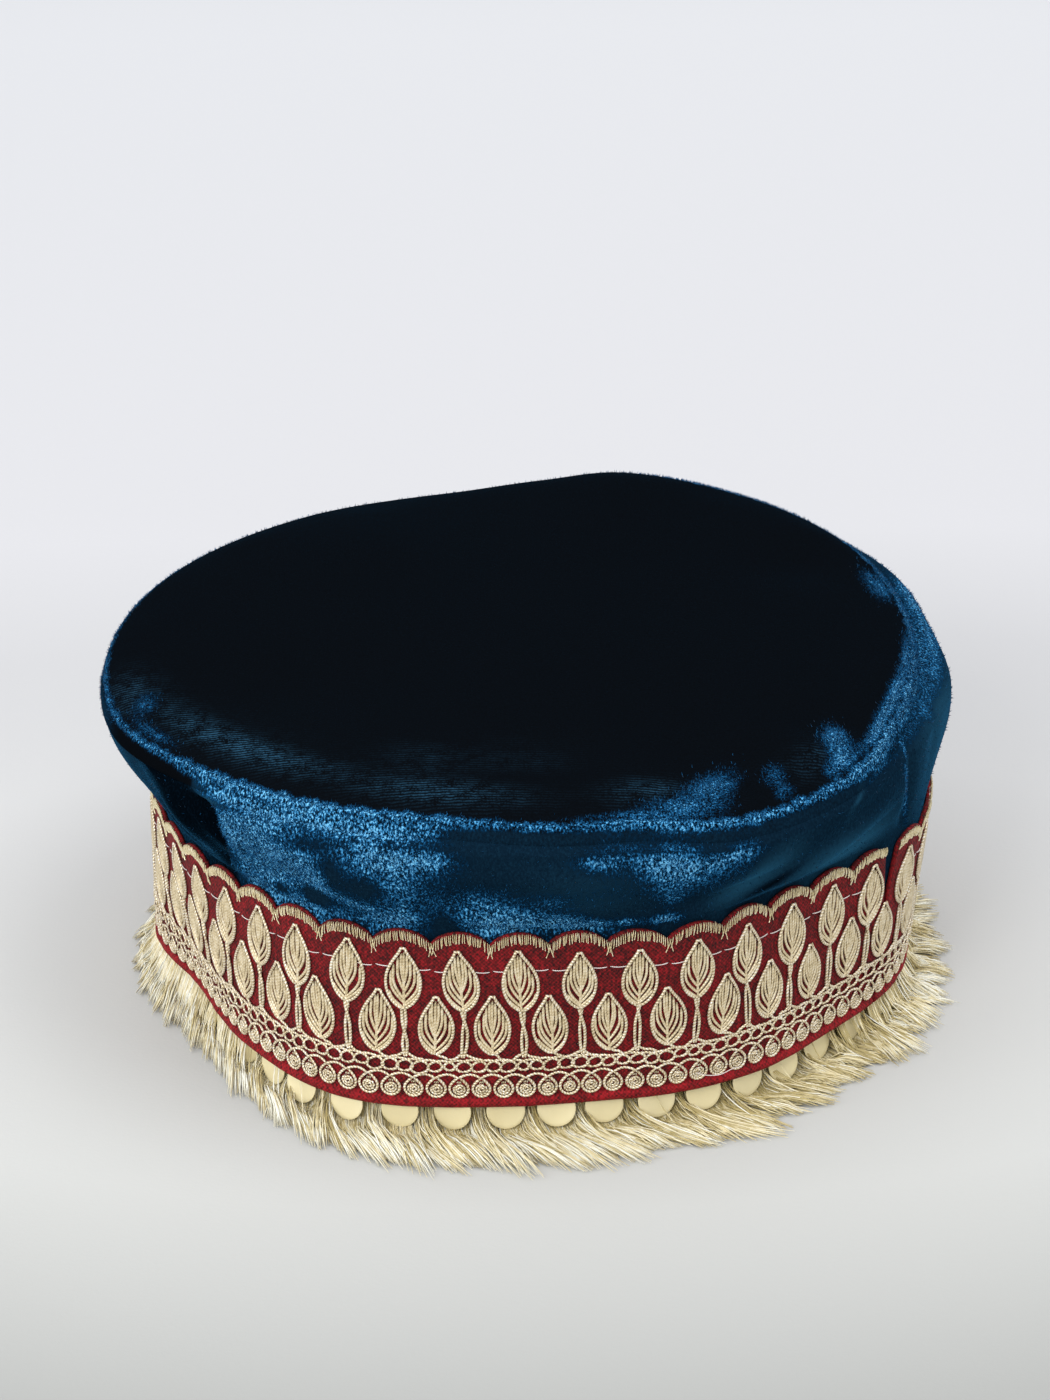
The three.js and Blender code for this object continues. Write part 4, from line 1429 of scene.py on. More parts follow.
    def _tufts(
        self, random: Random, here: Points, round_way: Points, up_way: Points, crush_and_sheen: Points
    ) -> Surface:
        """Return three-sided tufts that lean with the nap.

        Args:
            random: Where the tufts' differences come from.
            here: Their roots.
            round_way: The surface's direction round the cap at each root.
            up_way: The surface's direction up towards the tip's middle.
            crush_and_sheen: How crushed the pile is there.

        Returns:
            The tufts.
        """
        count = len(here)
        out = unit(np.cross(round_way, up_way))
        side = random.normal(0, 0.35, count)[:, None]
        down = random.normal(-0.35, 0.45, count)[:, None]
        lean = unit(out * random.uniform(0.35, 1.0, count)[:, None] + round_way * side - up_way * down)
        length = self.tuft_length * random.uniform(0.55, 1.25, count)[:, None]
        spin = random.uniform(0, 2 * math.pi, count)
        corners = []
        for k in range(3):
            turn = (spin + k * 2 * math.pi / 3)[:, None]
            aside = np.cos(turn) * round_way + np.sin(turn) * up_way
            corners.append(here - self.tuft_root * out + self.tuft_base * aside)
        end = here + lean * length
        points = np.stack([*corners, end], axis=1).reshape(-1, 3)
        start = np.arange(count)[:, None] * 4
        faces = np.concatenate([start + np.array([a, b, 3]) for a, b in ((0, 1), (1, 2), (2, 0))])
        faces = np.concatenate([faces, np.full((len(faces), 1), -1)], axis=1)
        # Each tuft's tone rises with how crushed its place is, a painted highlight, and its root corners are
        # painted darker, a painted shade.
        tone = np.clip(random.normal(0.5, 0.38, count), 0, 1) * (0.3 + 0.7 * crush_and_sheen)
        shade = np.stack([tone * 0.75, tone * 0.75, tone * 0.75, tone], axis=1).ravel()
        return Surface(points, faces, {"shade": shade})


# ---- trim ----------------------------------------------------------------------------------------


@dataclass
class RedTrim:
    """The red woven band, with its hem rolled and its top edge cut in scallops."""

    form: CapForm
    steps_per_scallop: int = 14
    mean_radius: float = 92.0
    roll_out: float = 0.75
    hem_ripple: float = 0.13

    def build(self) -> list[Piece]:
        """Make and dress the band.

        Returns:
            The band.
        """
        band = self._band().piece("lace_cloth", WovenCotton().material("red_cotton_weave"))
        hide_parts("trim_band")
        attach(band, "root")
        return [band]

    def _band(self) -> Surface:
        """Make the band, open at its join.

        Returns:
            One closed strip.
        """
        form = self.form
        steps = form.scallops * self.steps_per_scallop
        turn = 360.0 - 2 * form.join_half_gap
        angles = form.join_angle + form.join_half_gap + turn * np.arange(steps + 1) / steps
        past_join = form.pitch * np.arange(steps + 1) / self.steps_per_scallop
        edge = np.minimum(form.scallop_height(form.join_angle + past_join), form.trim_height)
        hem = np.array([0.0, 0.35, 1.0, 1.9, 2.6, 2.95, 3.3])
        bulge = np.array([-0.25, 0.12, 1.0, 1.0, 0.45, -0.3, 0.0]) * self.roll_out
        turned = np.radians(angles)[:, None]
        ripple = np.sin(41 * turned) + 0.7 * np.sin(67 * turned + 1.0) + 0.5 * np.sin(103 * turned + 2.0)
        hem = hem + self.hem_ripple * ripple * np.array([0.0, 0.6, 1.0, 1.0, 0.9, 0.7, 0.0])
        bulge = bulge * (1 + 0.16 * ripple)
        levels = np.linspace(0, 1, 14)[1:]
        outer_h = np.concatenate([hem, hem[:, -1:] + (edge[:, None] - hem[:, -1:]) * levels], axis=1)
        outer_out = np.concatenate([bulge, np.zeros((steps + 1, len(levels)))], axis=1)
        outer_out[:, -1] = -0.12
        inner_h = edge[:, None] * np.array([1.0, 0.75, 0.5, 0.25, 0.0])
        inner_out = np.full(inner_h.shape, -form.trim_cloth)
        heights = np.concatenate([outer_h, inner_h], axis=1)
        outs = np.concatenate([outer_out, inner_out], axis=1)
        heights[:, -1] = 0.0
        # Above the leaves the two ends draw apart, so that the join opens in a notch.
        apart = np.exp(-(angles - angles[0]) / 2.5) - np.exp(-(angles[-1] - angles) / 2.5)
        opening = form.join_open * apart[:, None] * ease(heights / edge[:, None], 0.66, 1.0)
        points = form.on_trim(angles[:, None] + opening, heights, outs)
        rows = heights.shape[1]
        faces = grid_faces(steps + 1, rows, False, True)
        column = faces // rows
        arc = np.radians(angles - angles[0]) * self.mean_radius
        uv = np.stack([arc[column], heights.ravel()[faces]], axis=-1).reshape(-1, 2)
        outer_rows = outer_h.shape[1]
        caps = []
        # The band's two cut ends: each outer row is joined to the inner one nearest in height.
        for end, flip in ((0, 1), (steps, -1)):
            base = end * rows
            for k in range(outer_rows - 1):
                far = base + rows - 1 - min(k * 5 // outer_rows, 3)
                nxt = base + rows - 1 - min((k + 1) * 5 // outer_rows, 4)
                corners = [base + k, base + k + 1, nxt, far] if nxt != far else [base + k, base + k + 1, far]
                caps.append(corners[::flip] + [-1] * (4 - len(corners)))
        uv = np.concatenate([uv, np.zeros((len(caps) * 4, 2))])
        return Surface(points.reshape(-1, 3), np.concatenate([faces, np.array(caps)]), {}, uv)


@dataclass
class ZariWork:
    """The gold embroidery: leaves, stems, loops, rings and the satin-stitched edge."""

    form: CapForm
    cord: Strand = Strand(0.8, 0.7)
    rib: Strand = Strand(0.7, 0.76)
    fine: Strand = Strand(0.7, 0.6)
    stitch: Strand = Strand(0.25, 0.42, 4, 0.8)
    coil: Strand = Strand(0.66, 0.5, 4)
    ray: Strand = Strand(0.36, 0.3, 4)
    sunk: float = 0.42
    leaf_length: float = 15.2
    leaf_half: float = 3.86
    leaf_widest: float = 0.44
    leaf_eye: float = 0.64
    # Share of the leaf's length where each rib leaves the midrib, and of its half width where it runs.
    ribs: tuple[tuple[float, float], ...] = (
        (0.0, 0.97), (0.06, 0.79), (0.16, 0.59), (0.27, 0.385), (0.38, 0.19),
    )  # fmt: skip
    rib_rise: float = 0.34
    low_leaf: float = 14.0
    tall_leaf: float = 25.4
    stem_foot: float = 13.4
    stem_apart: float = 0.54
    loop_middle: float = 11.3
    loop_radius: float = 1.45
    ring_middle: float = 5.2
    ring_radius: float = 2.05
    garland: float = 8.2
    rings_round: int = 115
    loops_per_repeat: int = 4
    stitches_per_scallop: int = 29
    seed: int = 5

    def build(self) -> list[Piece]:
        """Make and dress the embroidery.

        Returns:
            The leaves' outlines and filling, the stems and loops, the rings and the edge's stitching.
        """
        zari = SpunThread("#766342", "#e0cda6", "#fffcf2", 0.8, 0.45, 0.25, relief=0.8).material("zari_cord")
        fill = SpunThread("#766342", "#dac8a1", "#fbf2dc", 0.8, 0.35, 0.3, relief=0.35).material("zari_fill")
        gilt = SpunThread("#6a5330", "#e9d9ab", "#fffbe8", 0.8, 0.4, 0.3, relief=0.4).material("zari_stitch")
        random = np.random.default_rng(self.seed)
        outlines, filling = self._leaves(random)
        made = [
            outlines.piece("zari_outlines", zari),
            filling.piece("zari_fill", fill),
            self._stems_and_loops(random).piece("zari_stems", zari),
            self._rings(random).piece("zari_rings", zari),
            self._scallop_stitches(random).piece("zari_edging", gilt),
        ]
        for piece in made:
            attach(piece, "root")
        return made

    def _lay(self, strand: Strand, paths: Points, lift: float = 0.0) -> Surface:
        """Sweep a strand along paths on the trim.

        Args:
            strand: What is laid.
            paths: By path and place, the angle, the height above the hem and sometimes a further lift.
            lift: Extra millimetres off the cloth.

        Returns:
            The strands.
        """
        out = strand.height * self.sunk + lift
        if paths.shape[-1] > 2:
            out = out + paths[..., 2]
        points = self.form.on_trim(paths[..., 0], paths[..., 1], out)
        outward = place(paths[..., 0], 1.0, 0.0)
        return strand.sweep(points, outward)

    def _half_width(self, share: Points) -> Points:
        """Give the leaf's shape.

        Args:
            share: How far along its length, 0 to 1.

        Returns:
            Its half width there, millimetres.
        """
        share = np.clip(share, 0, 1)
        low = np.sin(math.pi / 2 * np.clip(share / self.leaf_widest, 0, 1) ** 0.64)
        high = np.sin(math.pi / 2 * np.clip((1 - share) / (1 - self.leaf_widest), 0, 1))
        return self.leaf_half * np.where(share < self.leaf_widest, low, high)

    def _leaf_outline(self) -> Points:
        """Draw one leaf's outline.

        Returns:
            Its path as x and y in millimetres, from its foot.
        """
        share = np.concatenate([[0.0], np.linspace(0.02, 0.92, 15)])
        right = np.stack([self._half_width(share), share * self.leaf_length], axis=-1)
        loop = np.radians(np.linspace(10, 170, 5))
        eye = self.leaf_eye * np.stack([np.cos(loop), np.sin(loop)], axis=-1) + [0, 0.96 * self.leaf_length]
        return even_path(np.concatenate([right, eye, right[::-1] * [-1, 1]]), 40)

    def _leaf_lane(self, start: float, lane: float, side: int) -> Points:
        """Return a cord that leaves the leaf's midrib at a slant and turns up beside its neighbours.

        Args:
            start: Share of the leaf's length where it leaves the midrib.
            lane: Share of the half width where it runs.
            side: 1 for the right, -1 for the left.

        Returns:
            Its path as x and y in millimetres, stopping where it meets the outline.
        """
        t = np.linspace(start, 0.94, 60)
        half = self._half_width(t)
        out = np.sin(math.pi / 2 * np.clip((t - start) / self.rib_rise, 0, 1))
        x = self.leaf_half * lane * out * (1 - 0.14 * ease(t, 0.5, 1.0))
        met = np.nonzero((t > 0.3) & (x > half - 0.42))[0]
        stop = met[0] if len(met) else len(t)
        x = np.minimum(x, half - 0.3)
        return even_path(np.stack([side * x, t * self.leaf_length], axis=-1)[:stop:3], 10)

    def _leaves(self, random: Random) -> tuple[Surface, Surface]:
        """Lay all the leaves, each a little different.

        Args:
            random: Where the differences come from.

        Returns:
            Their outlines, and the cords that fill them.
        """
        form = self.form
        outline = self._leaf_outline()
        outlines, filling = [], []
        for k in range(form.scallops):
            spots = (
                (form.join_angle + form.pitch * k, self.low_leaf),
                (form.join_angle + form.pitch * (k + 0.5), self.tall_leaf),
            )
            for middle, foot in spots:
                tilt = random.normal(0, 0.04)
                size = random.normal(1.0, 0.025)
                sway = random.normal(0, 0.12)
                lines = [even_path([(0, 0.3), (random.normal(0, 0.1), 6), (0, 0.92 * self.leaf_length)], 10)]
                for start, lane in self.ribs:
                    for side in (-1, 1):
                        lines.append(self._leaf_lane(start + random.uniform(0, 0.04), lane, side))
                for line in (outline, *lines):
                    wobble = random.normal(0, 0.07, 2)
                    bow = random.normal(0, 0.08) * np.sin(math.pi * line[:, 1] / self.leaf_length)
                    x = (line[:, 0] + bow + tilt * line[:, 1]) * size + sway + wobble[0]
                    y = foot + line[:, 1] * size + wobble[1]
                    kept = outlines if line is outline else filling
                    kept.append(self._beside(middle, x, y))
        return self._lay(self.cord, np.array(outlines), 0.1), self._lay(self.rib, np.array(filling))

    def _stems_and_loops(self, random: Random) -> Surface:
        """Lay the twisted stems, the links at their feet and the loops under them.

        Args:
            random: Where the differences come from.

        Returns:
            The cords.
        """
        form = self.form
        stems, links, loops = [], [], []
        for k in range(form.scallops):
            low = form.join_angle + form.pitch * k
            tall = low + form.pitch / 2
            sway, bend = random.normal(0, 0.3), random.normal(0, 0.28)
            cross = 0.72 + random.normal(0, 0.07)
            t = np.linspace(0, 1, 14)
            # The two cords run side by side and cross once, under the leaf.
            apart = np.cos(math.pi / 2 * np.clip(1 + (t - cross) / 0.3, 0, 1.7))
            wide = self.stem_apart * apart * (0.45 + 0.55 * ease(t, 0, 0.25))
            y = self.stem_foot + (self.tall_leaf + 0.6 - self.stem_foot) * t
            for side in (-1, 1):
                x = side * (wide + 0.1 * t) + sway * (1 - t) + bend * np.sin(math.pi * t)
                over = side * 0.2 * bell((t - cross) / 0.2)
                stems.append(self._beside(tall, x, y, over))
            jog = random.normal(0, 0.3, 4)
            links += [
                self._link(tall, [(0.5 + sway, 14.3), (1.5, 13.6), (2.8, 13.1 + jog[0]), (4.1, 12.9)]),
                self._link(tall, [(sway - 0.5, 14.3), (-1.5, 13.5), (-2.5, 13.1 + jog[1]), (-3.4, 12.9)]),
                self._link(low, [(0.1, 14.6), (1.0, 13.8), (2.0, 13.2 + jog[2]), (3.0, 12.9)]),
            ]
        count = form.scallops * self.loops_per_repeat
        radius = self.loop_radius + random.normal(0, 0.14, count + 1)
        middle = self.loop_middle + random.normal(0, 0.18, count + 1)
        slant = random.normal(0.25, 0.16, count + 1)
        for k in range(count):
            t = np.linspace(0, 1, 15)
            size = radius[k] * (1 - t) + radius[k + 1] * t
            mid = middle[k] * (1 - t) + middle[k + 1] * t
            advance = (k + t) * (360.0 / count)
            y = mid - size * np.cos(2 * math.pi * t)
            x = (slant[k] * (1 - t) + slant[k + 1] * t) * (y - mid) - size * 1.68 * np.sin(2 * math.pi * t)
            over = 0.2 * np.cos(2 * math.pi * t + 1.0)
            loops.append(self._beside(form.join_angle + advance, x, y, over))
        return join_surfaces(
            [
                self._lay(self.cord, np.array(stems), 0.12),
                self._lay(self.fine, np.array(links), 0.2),
                self._lay(self.fine, np.array(loops), 0.15),
            ]
        )

    def _beside(self, middle: Points, x: Points, *rest: Points) -> Points:
        """Return a path on the trim from its millimetres off a middle angle, its heights and lifts."""
        return np.stack([middle + x * self.form.mm_turn, *rest], axis=-1)

    def _link(self, middle: float, points: Sequence[tuple[float, float]]) -> Points:
        """Return a smooth link through points, given as millimetres off a middle angle and heights."""
        return self._beside(middle, *even_path(points, 9).T)

    def _rings(self, random: Random) -> Surface:
        """Lay the drop-shaped rings over the hem, with the garland on top of them.

        Args:
            random: Where the differences come from.

        Returns:
            The cords.
        """
        form = self.form
        step = 360.0 / self.rings_round
        drops, curls, rays, waves = [], [], [], []
        arc, coil = np.linspace(0, 1, 17), np.linspace(0, 1, 21)
        for k in range(self.rings_round):
            middle = form.join_angle + step * (k + 0.5)
            size = random.normal(1.0, 0.03)
            turn = np.radians(90 + 360 * arc)
            point = 0.75 * bell(np.minimum(arc, 1 - arc) / 0.07)
            x = self.ring_radius * np.cos(turn) * size
            y = self.ring_middle + (self.ring_radius + 0.05) * np.sin(turn) * size + point
            drops.append(self._beside(middle, x, y))
            turn = np.radians(100 + 800 * coil + random.uniform(-40, 40))
            out = 1.27 - 0.64 * ease(coil, 0.36, 0.56) - 0.55 * ease(coil, 0.8, 1.0)
            y = self.ring_middle - 0.25 + out * np.sin(turn)
            curls.append(self._beside(middle, out * np.cos(turn), y))
            across = np.linspace(0, 1, 9)
            lift = self.garland + 0.7 * np.sin(math.pi * across) ** 0.7 + random.normal(0, 0.06)
            over = 0.25 * np.cos(2 * math.pi * across)
            waves.append(np.stack([middle + step * across, lift, over], axis=-1))
            for side in (-0.55, 0.0, 0.55):
                rays.append(self._link(middle, [(side * 0.5, 7.0), (side * 0.8, 6.5), (side, 6.05)])[:5])
        return join_surfaces(
            [
                self._lay(self.fine, np.array(drops), 0.08),
                self._lay(self.coil, np.array(curls)),
                self._lay(self.ray, np.array(rays)),
                self._lay(self.fine, np.array(waves), 0.25),
            ]
        )

    def _scallop_stitches(self, random: Random) -> Surface:
        """Lay the satin stitches that follow the scalloped edge.

        Args:
            random: Where the differences come from.

        Returns:
            The stitches.
        """
        form = self.form
        count = form.scallops * self.stitches_per_scallop
        step = form.pitch / self.stitches_per_scallop
        share = (np.arange(count) + 0.5) / self.stitches_per_scallop
        angle = form.join_angle + share * form.pitch
        from_join = np.abs(turn_between(angle, form.join_angle))
        keep = from_join > form.join_half_gap + form.join_open + 0.1
        across = np.mod(share, 1.0)
        top = form.scallop_height(angle) - 0.15 + random.normal(0, 0.1, count)
        notch = bell(np.minimum(across, 1 - across) / 0.06)
        length = 2.3 + 1.2 * notch + random.normal(0, 0.14, count)
        # The stitches stand upright along a scallop and close to a point under each notch.
        lean = 0.26 * notch * np.sign(across - 0.5) + random.normal(0, 0.07, count)
        t = np.linspace(0, 1, 5)
        turn = angle[:, None] + (lean[:, None] * t * length[:, None]) * form.mm_turn
        turn = turn + random.normal(0, 0.12, count)[:, None] * step
        height = top[:, None] - length[:, None] * t
        over = 0.22 * np.sin(math.pi * t)[None] + random.uniform(0, 0.12, count)[:, None]
        paths = np.stack([turn, height, over], axis=-1)[keep]
        return self._lay(self.stitch, paths)


@dataclass
class RunningStitch:
    """The off-white thread that tacks the trim to the velvet, between the tall leaves."""

    form: CapForm
    thread: Strand = Strand(0.25, 0.24, 5, 0.7)
    loose: Strand = Strand(0.22, 0.22, 5, 0.8)
    height: float = 35.6
    seed: int = 8

    def build(self) -> list[Piece]:
        """Make and dress the stitches.

        Returns:
            The stitches and one loose end of thread.
        """
        cotton = SpunThread("#cbb9b0", "#efe3dc", "#fbf6f3", 0.5, 0.0, 0.75, 0.2).material("tacking_cotton")
        piece = self._stitches().piece("running_stitch", cotton)
        loose = self._loose_end().piece("loose_thread", cotton)
        for made in (piece, loose):
            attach(made, "root")
        return [piece, loose]

    def _stitches(self) -> Surface:
        """Sew two stitches in each space between tall leaves.

        Returns:
            The stitches.
        """
        form = self.form
        random = np.random.default_rng(self.seed)
        paths = []
        t = np.linspace(0, 1, 8)
        for k in range(1, form.scallops):
            middle = form.join_angle + form.pitch * k
            tilt = random.normal(0, 0.05)
            for start, stop in ((-3.9, -0.45), (0.35, 3.9)):
                x = start + (stop - start) * t + random.normal(0, 0.1)
                y = self.height + tilt * x + random.normal(0, 0.15) - 0.12 * np.sin(math.pi * t)
                lift = 0.05 + 0.2 * np.sin(math.pi * t) ** 0.5
                paths.append(form.on_trim(middle + x * form.mm_turn, y, lift))
        paths = np.array(paths)
        outward = unit(paths * np.array([1, 1, 0]))
        return self.thread.sweep(paths, outward)

    def _loose_end(self) -> Surface:
        """Leave a short end of thread hanging over the rings at the front right.

        Returns:
            The thread.
        """
        knots = [(22.5, 5.2, 0.8), (24, 4.1, 1.2), (26, 3.6, 1.5), (28, 4.4, 1.7), (29.5, 4.0, 1.5)]
        path = even_path(knots, 24)
        points = self.form.on_trim(path[:, 0], path[:, 1], path[:, 2])[None]
        return self.loose.sweep(points, unit(points * np.array([1, 1, 0])))


# ---- fringe and spangles -------------------------------------------------------------------------


@dataclass
class SpangleRows:
    """Four rows of flat round spangles that hang behind the hem, one row on each side of the cap."""

    form: CapForm
    radius: float = 4.4
    thick: float = 0.4
    hole: float = 0.55
    hole_up: float = 1.9
    drop: float = 1.7
    lean: float = 12.0
    dish: float = 0.22
    steps_round: int = 36
    seed: int = 21

    def build(self) -> list[Piece]:
        """Make and dress the four rows.

        Returns:
            A piece for each row.
        """
        foil = SpangleFoil().material("satin_foil")
        random = np.random.default_rng(self.seed)
        made = []
        for number, side in enumerate(Side):
            piece = self._row(number, random).piece(f"{side.value}_spangles", foil)
            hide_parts(f"spangles_{side.value}")
            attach(piece, "root")
            made.append(piece)
        return made

    def _row(self, number: int, random: Random) -> Surface:
        """Hang one row's spangles, each a little differently.

        Args:
            number: The row's place in the order of the sides.
            random: Where the differences come from.

        Returns:
            The spangles.
        """
        form = self.form
        in_row = form.spangles // len(Side)
        parts = []
        for i in range(in_row):
            angle = form.first_spangle + (number * in_row + i) * form.spangle_pitch + random.normal(0, 0.5)
            parts.append(self._spangle(angle, random))
        return join_surfaces(parts)

    def _spangle(self, angle: float, random: Random) -> Surface:
        """Hang one spangle by its sewing hole.

        Args:
            angle: Degrees round the cap.
            random: Where the differences come from.

        Returns:
            The spangle.
        """
        turn = np.arange(self.steps_round) / self.steps_round * 2 * math.pi
        circle = np.stack([np.cos(turn), np.sin(turn)], axis=-1)
        hole_at = np.array([0.0, self.hole_up])
        # Rings from the hole's edge out to the spangle's edge and back along its other face.
        plan = ((0.0, 0.5), (0.06, 1), (0.3, 1), (0.6, 1), (0.85, 1), (0.97, 1), (1.0, 0.55))
        plan += ((1.0, -0.55), (0.97, -1), (0.6, -1), (0.3, -1), (0.06, -1), (0.0, -0.5))
        rings = []
        for share, face in plan:
            flat = (hole_at + self.hole * circle) * (1 - share) + self.radius * circle * share
            out = np.linalg.norm(flat, axis=-1) / self.radius
            z = face * self.thick / 2 - self.dish * (1 - out**2)
            rings.append(np.concatenate([flat, z[:, None]], axis=-1))
        local = np.stack(rings, axis=1).reshape(-1, 3)
        local[:, 1] -= self.hole_up
        swing = np.radians([random.normal(0, 2.5) - self.lean, random.normal(0, 4), random.normal(0, 4)])
        turned = local @ np.array(Euler(swing).to_matrix()).T
        form = self.form
        behind = form.trim_cloth + 2 * form.gap + self.thick * 0.6
        spot = place(angle, float(form.hem(angle)) - behind, form.hem_z - self.drop + self.hole_up)
        # Its own x, y and z run round the cap, up and outwards.
        axes = np.stack([place(angle + 90.0, 1.0, 0.0), place(angle, 0.0, 1.0), place(angle, 1.0, 0.0)])
        points = spot + turned @ axes
        faces = grid_faces(self.steps_round, len(plan), True, True)
        tone = random.uniform(0.25, 0.6)
        return Surface(points, faces, {"shade": np.full(len(points), tone)})


@dataclass
class ThreadFringe:
    """The fringe: bunches of cut thread that drop behind the hem and splay out on the floor."""

    form: CapForm
    thread: Strand = Strand(0.31, 0.27, 3, 0.5)
    short: Strand = Strand(0.5, 0.3, 3, 0.5)
    bunches: int = 144
    threads_in_bunch: int = 42
    short_in_bunch: int = 18
    steps: int = 8
    short_steps: int = 5
    reaches: tuple[float, float] = (3.0, 18.0)
    lowest: float = 0.18
    seed: int = 33

    def build(self) -> list[Piece]:
        """Make and dress the fringe in four pieces.

        Returns:
            The pieces.
        """
        finish = FringeThread().material("bright_viscose_thread")
        random = np.random.default_rng(self.seed)
        made = []
        quarter = self.bunches // len(Side)
        up = np.array([0.0, 0.0, 1.0])
        for number, side in enumerate(Side):
            paths, shades = self._threads(number * quarter, quarter, random)
            low, low_shades = self._bed(number * quarter, quarter, random)
            over = self.thread.sweep(paths, np.broadcast_to(up, paths.shape), shades)
            under = self.short.sweep(low, np.broadcast_to(up, low.shape), low_shades)
            piece = join_surfaces([over, under]).piece(f"fringe_{side.value}", finish)
            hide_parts("fringe")
            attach(piece, "root")
            made.append(piece)
        return made

    def _middle(self, bunch: int) -> float:
        """Return a bunch's angle. The first starts half way between two spangles."""
        start = self.form.first_spangle - self.form.spangle_pitch / 2
        return float(turn_between(start + (bunch + 0.5) * 360.0 / self.bunches, 0.0))

    def _glow(self, middle: float) -> float:
        """Return how much a bunch at the left is painted brighter, a painted light from that side."""
        return 0.16 * float(bell((middle + 72) / 34))

    def _threads(self, first: int, count: int, random: Random) -> tuple[Points, Points]:
        """Let some bunches' threads drop and splay.

        Args:
            first: The first bunch.
            count: How many bunches.
            random: Where the differences come from.

        Returns:
            The threads' paths, and the shades along each.
        """
        paths, shades = [], []
        wave = np.linspace(0, 1, self.steps)
        for bunch in range(first, first + count):
            middle = self._middle(bunch) + random.normal(0, 0.4)
            drift = float(self.form.drift(middle)) + random.normal(0.0, 0.15)
            share = np.clip(random.normal(0.9, 0.1), 0.65, 1.1)
            height = random.uniform(0.2, 1.0)
            # Painted light brightens the bunches at the left; those at the front right are darker.
            turned = self._glow(middle) - 0.36 * bell((middle - 34) / 18)
            tone = 0.34 + turned + random.normal(0, 0.1)
            veil = 0.85 * bell((middle + 86) / 24) + 0.22 * bell((middle - 70) / 22)
            close = 1 + 0.4 * bell((middle + 78) / 34)
            loose = 0.95 + 0.45 * bell((middle + 70) / 34)
            for _ in range(round(self.threads_in_bunch * close)):
                off = random.normal(0, loose)
                # A bunch comes to a ragged point: its outer threads are shorter and turn inwards.
                uneven = (1.14 - 0.5 * random.beta(1.3, 2.2)) * (1 - 0.16 * min(abs(off), 1.6))
                reach = float(np.clip(self.form.spread(middle) * share * uneven, *self.reaches))
                slide = (drift + random.normal(0, 0.11)) * reach - 0.45 * off
                before = random.random() < veil
                path = even_path(self._knots(middle + off, reach, slide, height, before, random), self.steps)
                waver = random.normal(0, 0.13) * np.sin(random.uniform(3, 8) * wave + random.uniform(0, 6))
                path[:, 0] += waver * wave
                path[:, 2] = np.maximum(path[:, 2], self.lowest)
                paths.append(self._on_floor(middle + off, path))
                # Along its length each thread is painted darker at its root, a painted shade under the hem,
                # and lighter towards its cut end.
                shades.append(np.clip(tone + random.normal(0, 0.26) + 0.55 * (wave - 0.3), 0, 1))
        return np.array(paths), np.array(shades)

    def _bed(self, first: int, count: int, random: Random) -> tuple[Points, Points]:
        """Lay short threads low under the long ones.

        Args:
            first: The first bunch.
            count: How many bunches.
            random: Where the differences come from.

        Returns:
            The threads' paths, and a shade for each.
        """
        paths, shades = [], []
        for bunch in range(first, first + count):
            middle = self._middle(bunch)
            # The short threads under the long ones are painted darker, a painted shade, and take the same
            # painted light at the left.
            tone = 0.22 + self._glow(middle)
            for _ in range(self.short_in_bunch):
                angle = middle + random.uniform(-1.4, 1.4)
                reach = float(self.form.spread(middle)) * random.uniform(0.35, 0.75)
                slide = float(self.form.drift(middle)) * reach
                knots = [
                    (0.0, -3.4, 5.2),
                    (slide * 0.1, -1.6, 1.9),
                    (slide * 0.45, reach * 0.45, 0.7),
                    (slide, reach, random.uniform(0.2, 0.7)),
                ]
                paths.append(self._on_floor(angle, even_path(knots, self.short_steps)))
                shades.append(np.clip(tone + random.normal(0, 0.2), 0, 1))
        return np.array(paths), np.array(shades)

    def _on_floor(self, angle: float, path: Points) -> Points:
        """Return points from millimetres round, out from the hem and up, at an angle round the cap."""
        radius = self.form.hem(angle) + path[:, 1]
        return place(angle + np.degrees(path[:, 0] / radius), radius, path[:, 2])

    def _knots(
        self, angle: float, reach: float, slide: float, height: float, before: bool, random: Random
    ) -> list[tuple[float, float, float]]:
        """Return where one thread passes, as millimetres round, out from the hem and up.

        Args:
            angle: Degrees round the cap at its root.
            reach: How far out its end lies.
            slide: How far round its end lies.
            height: How high its bunch rides, 0 to 1.
            before: Whether it hangs before the spangles instead of behind them.
            random: Where its differences come from.

        Returns:
            The knots, from its root down and out to its cut end.
        """
        pitch = self.form.spangle_pitch
        from_spangle = turn_between(angle, self.form.first_spangle) % pitch
        from_spangle = min(from_spangle, pitch - from_spangle)
        # Between two spangles a thread hangs free. Behind one it has to pass under its edge.
        free = float(ease(from_spangle, 2.0, 3.0))
        root = random.uniform(-4.4, -3.1)
        low = random.uniform(0.4, 1.3)
        under = low + (random.uniform(1.2, 5.0) - low) * free
        ride = height * random.uniform(0.4, 1.0)
        splay = [
            (slide * 0.34, max(reach * 0.32, 2.6 * before), under * 0.45 + 2.6 * ride),
            (slide * 0.66, max(reach * 0.64, 4.0 * before), 0.6 + 2.4 * ride),
            (slide, reach, 0.25 + 1.0 * ride * random.uniform(0, 1)),
        ]
        if before:
            hang = [(0.0, -1.25, 10.6), (0.0, -1.15, 8.8)]
            bend = [(slide * 0.04, -0.2, 6.4), (slide * 0.14, 1.1, 4.4)]
        else:
            hang = [(0.0, root, 11.0), (0.0, root + 0.2, 6.8)]
            bend = [(slide * 0.03, -2.3, under + 1.0), (slide * 0.12, 0.4, under * 0.85 + 0.3)]
        return hang + bend + splay


# ---- studio --------------------------------------------------------------------------------------


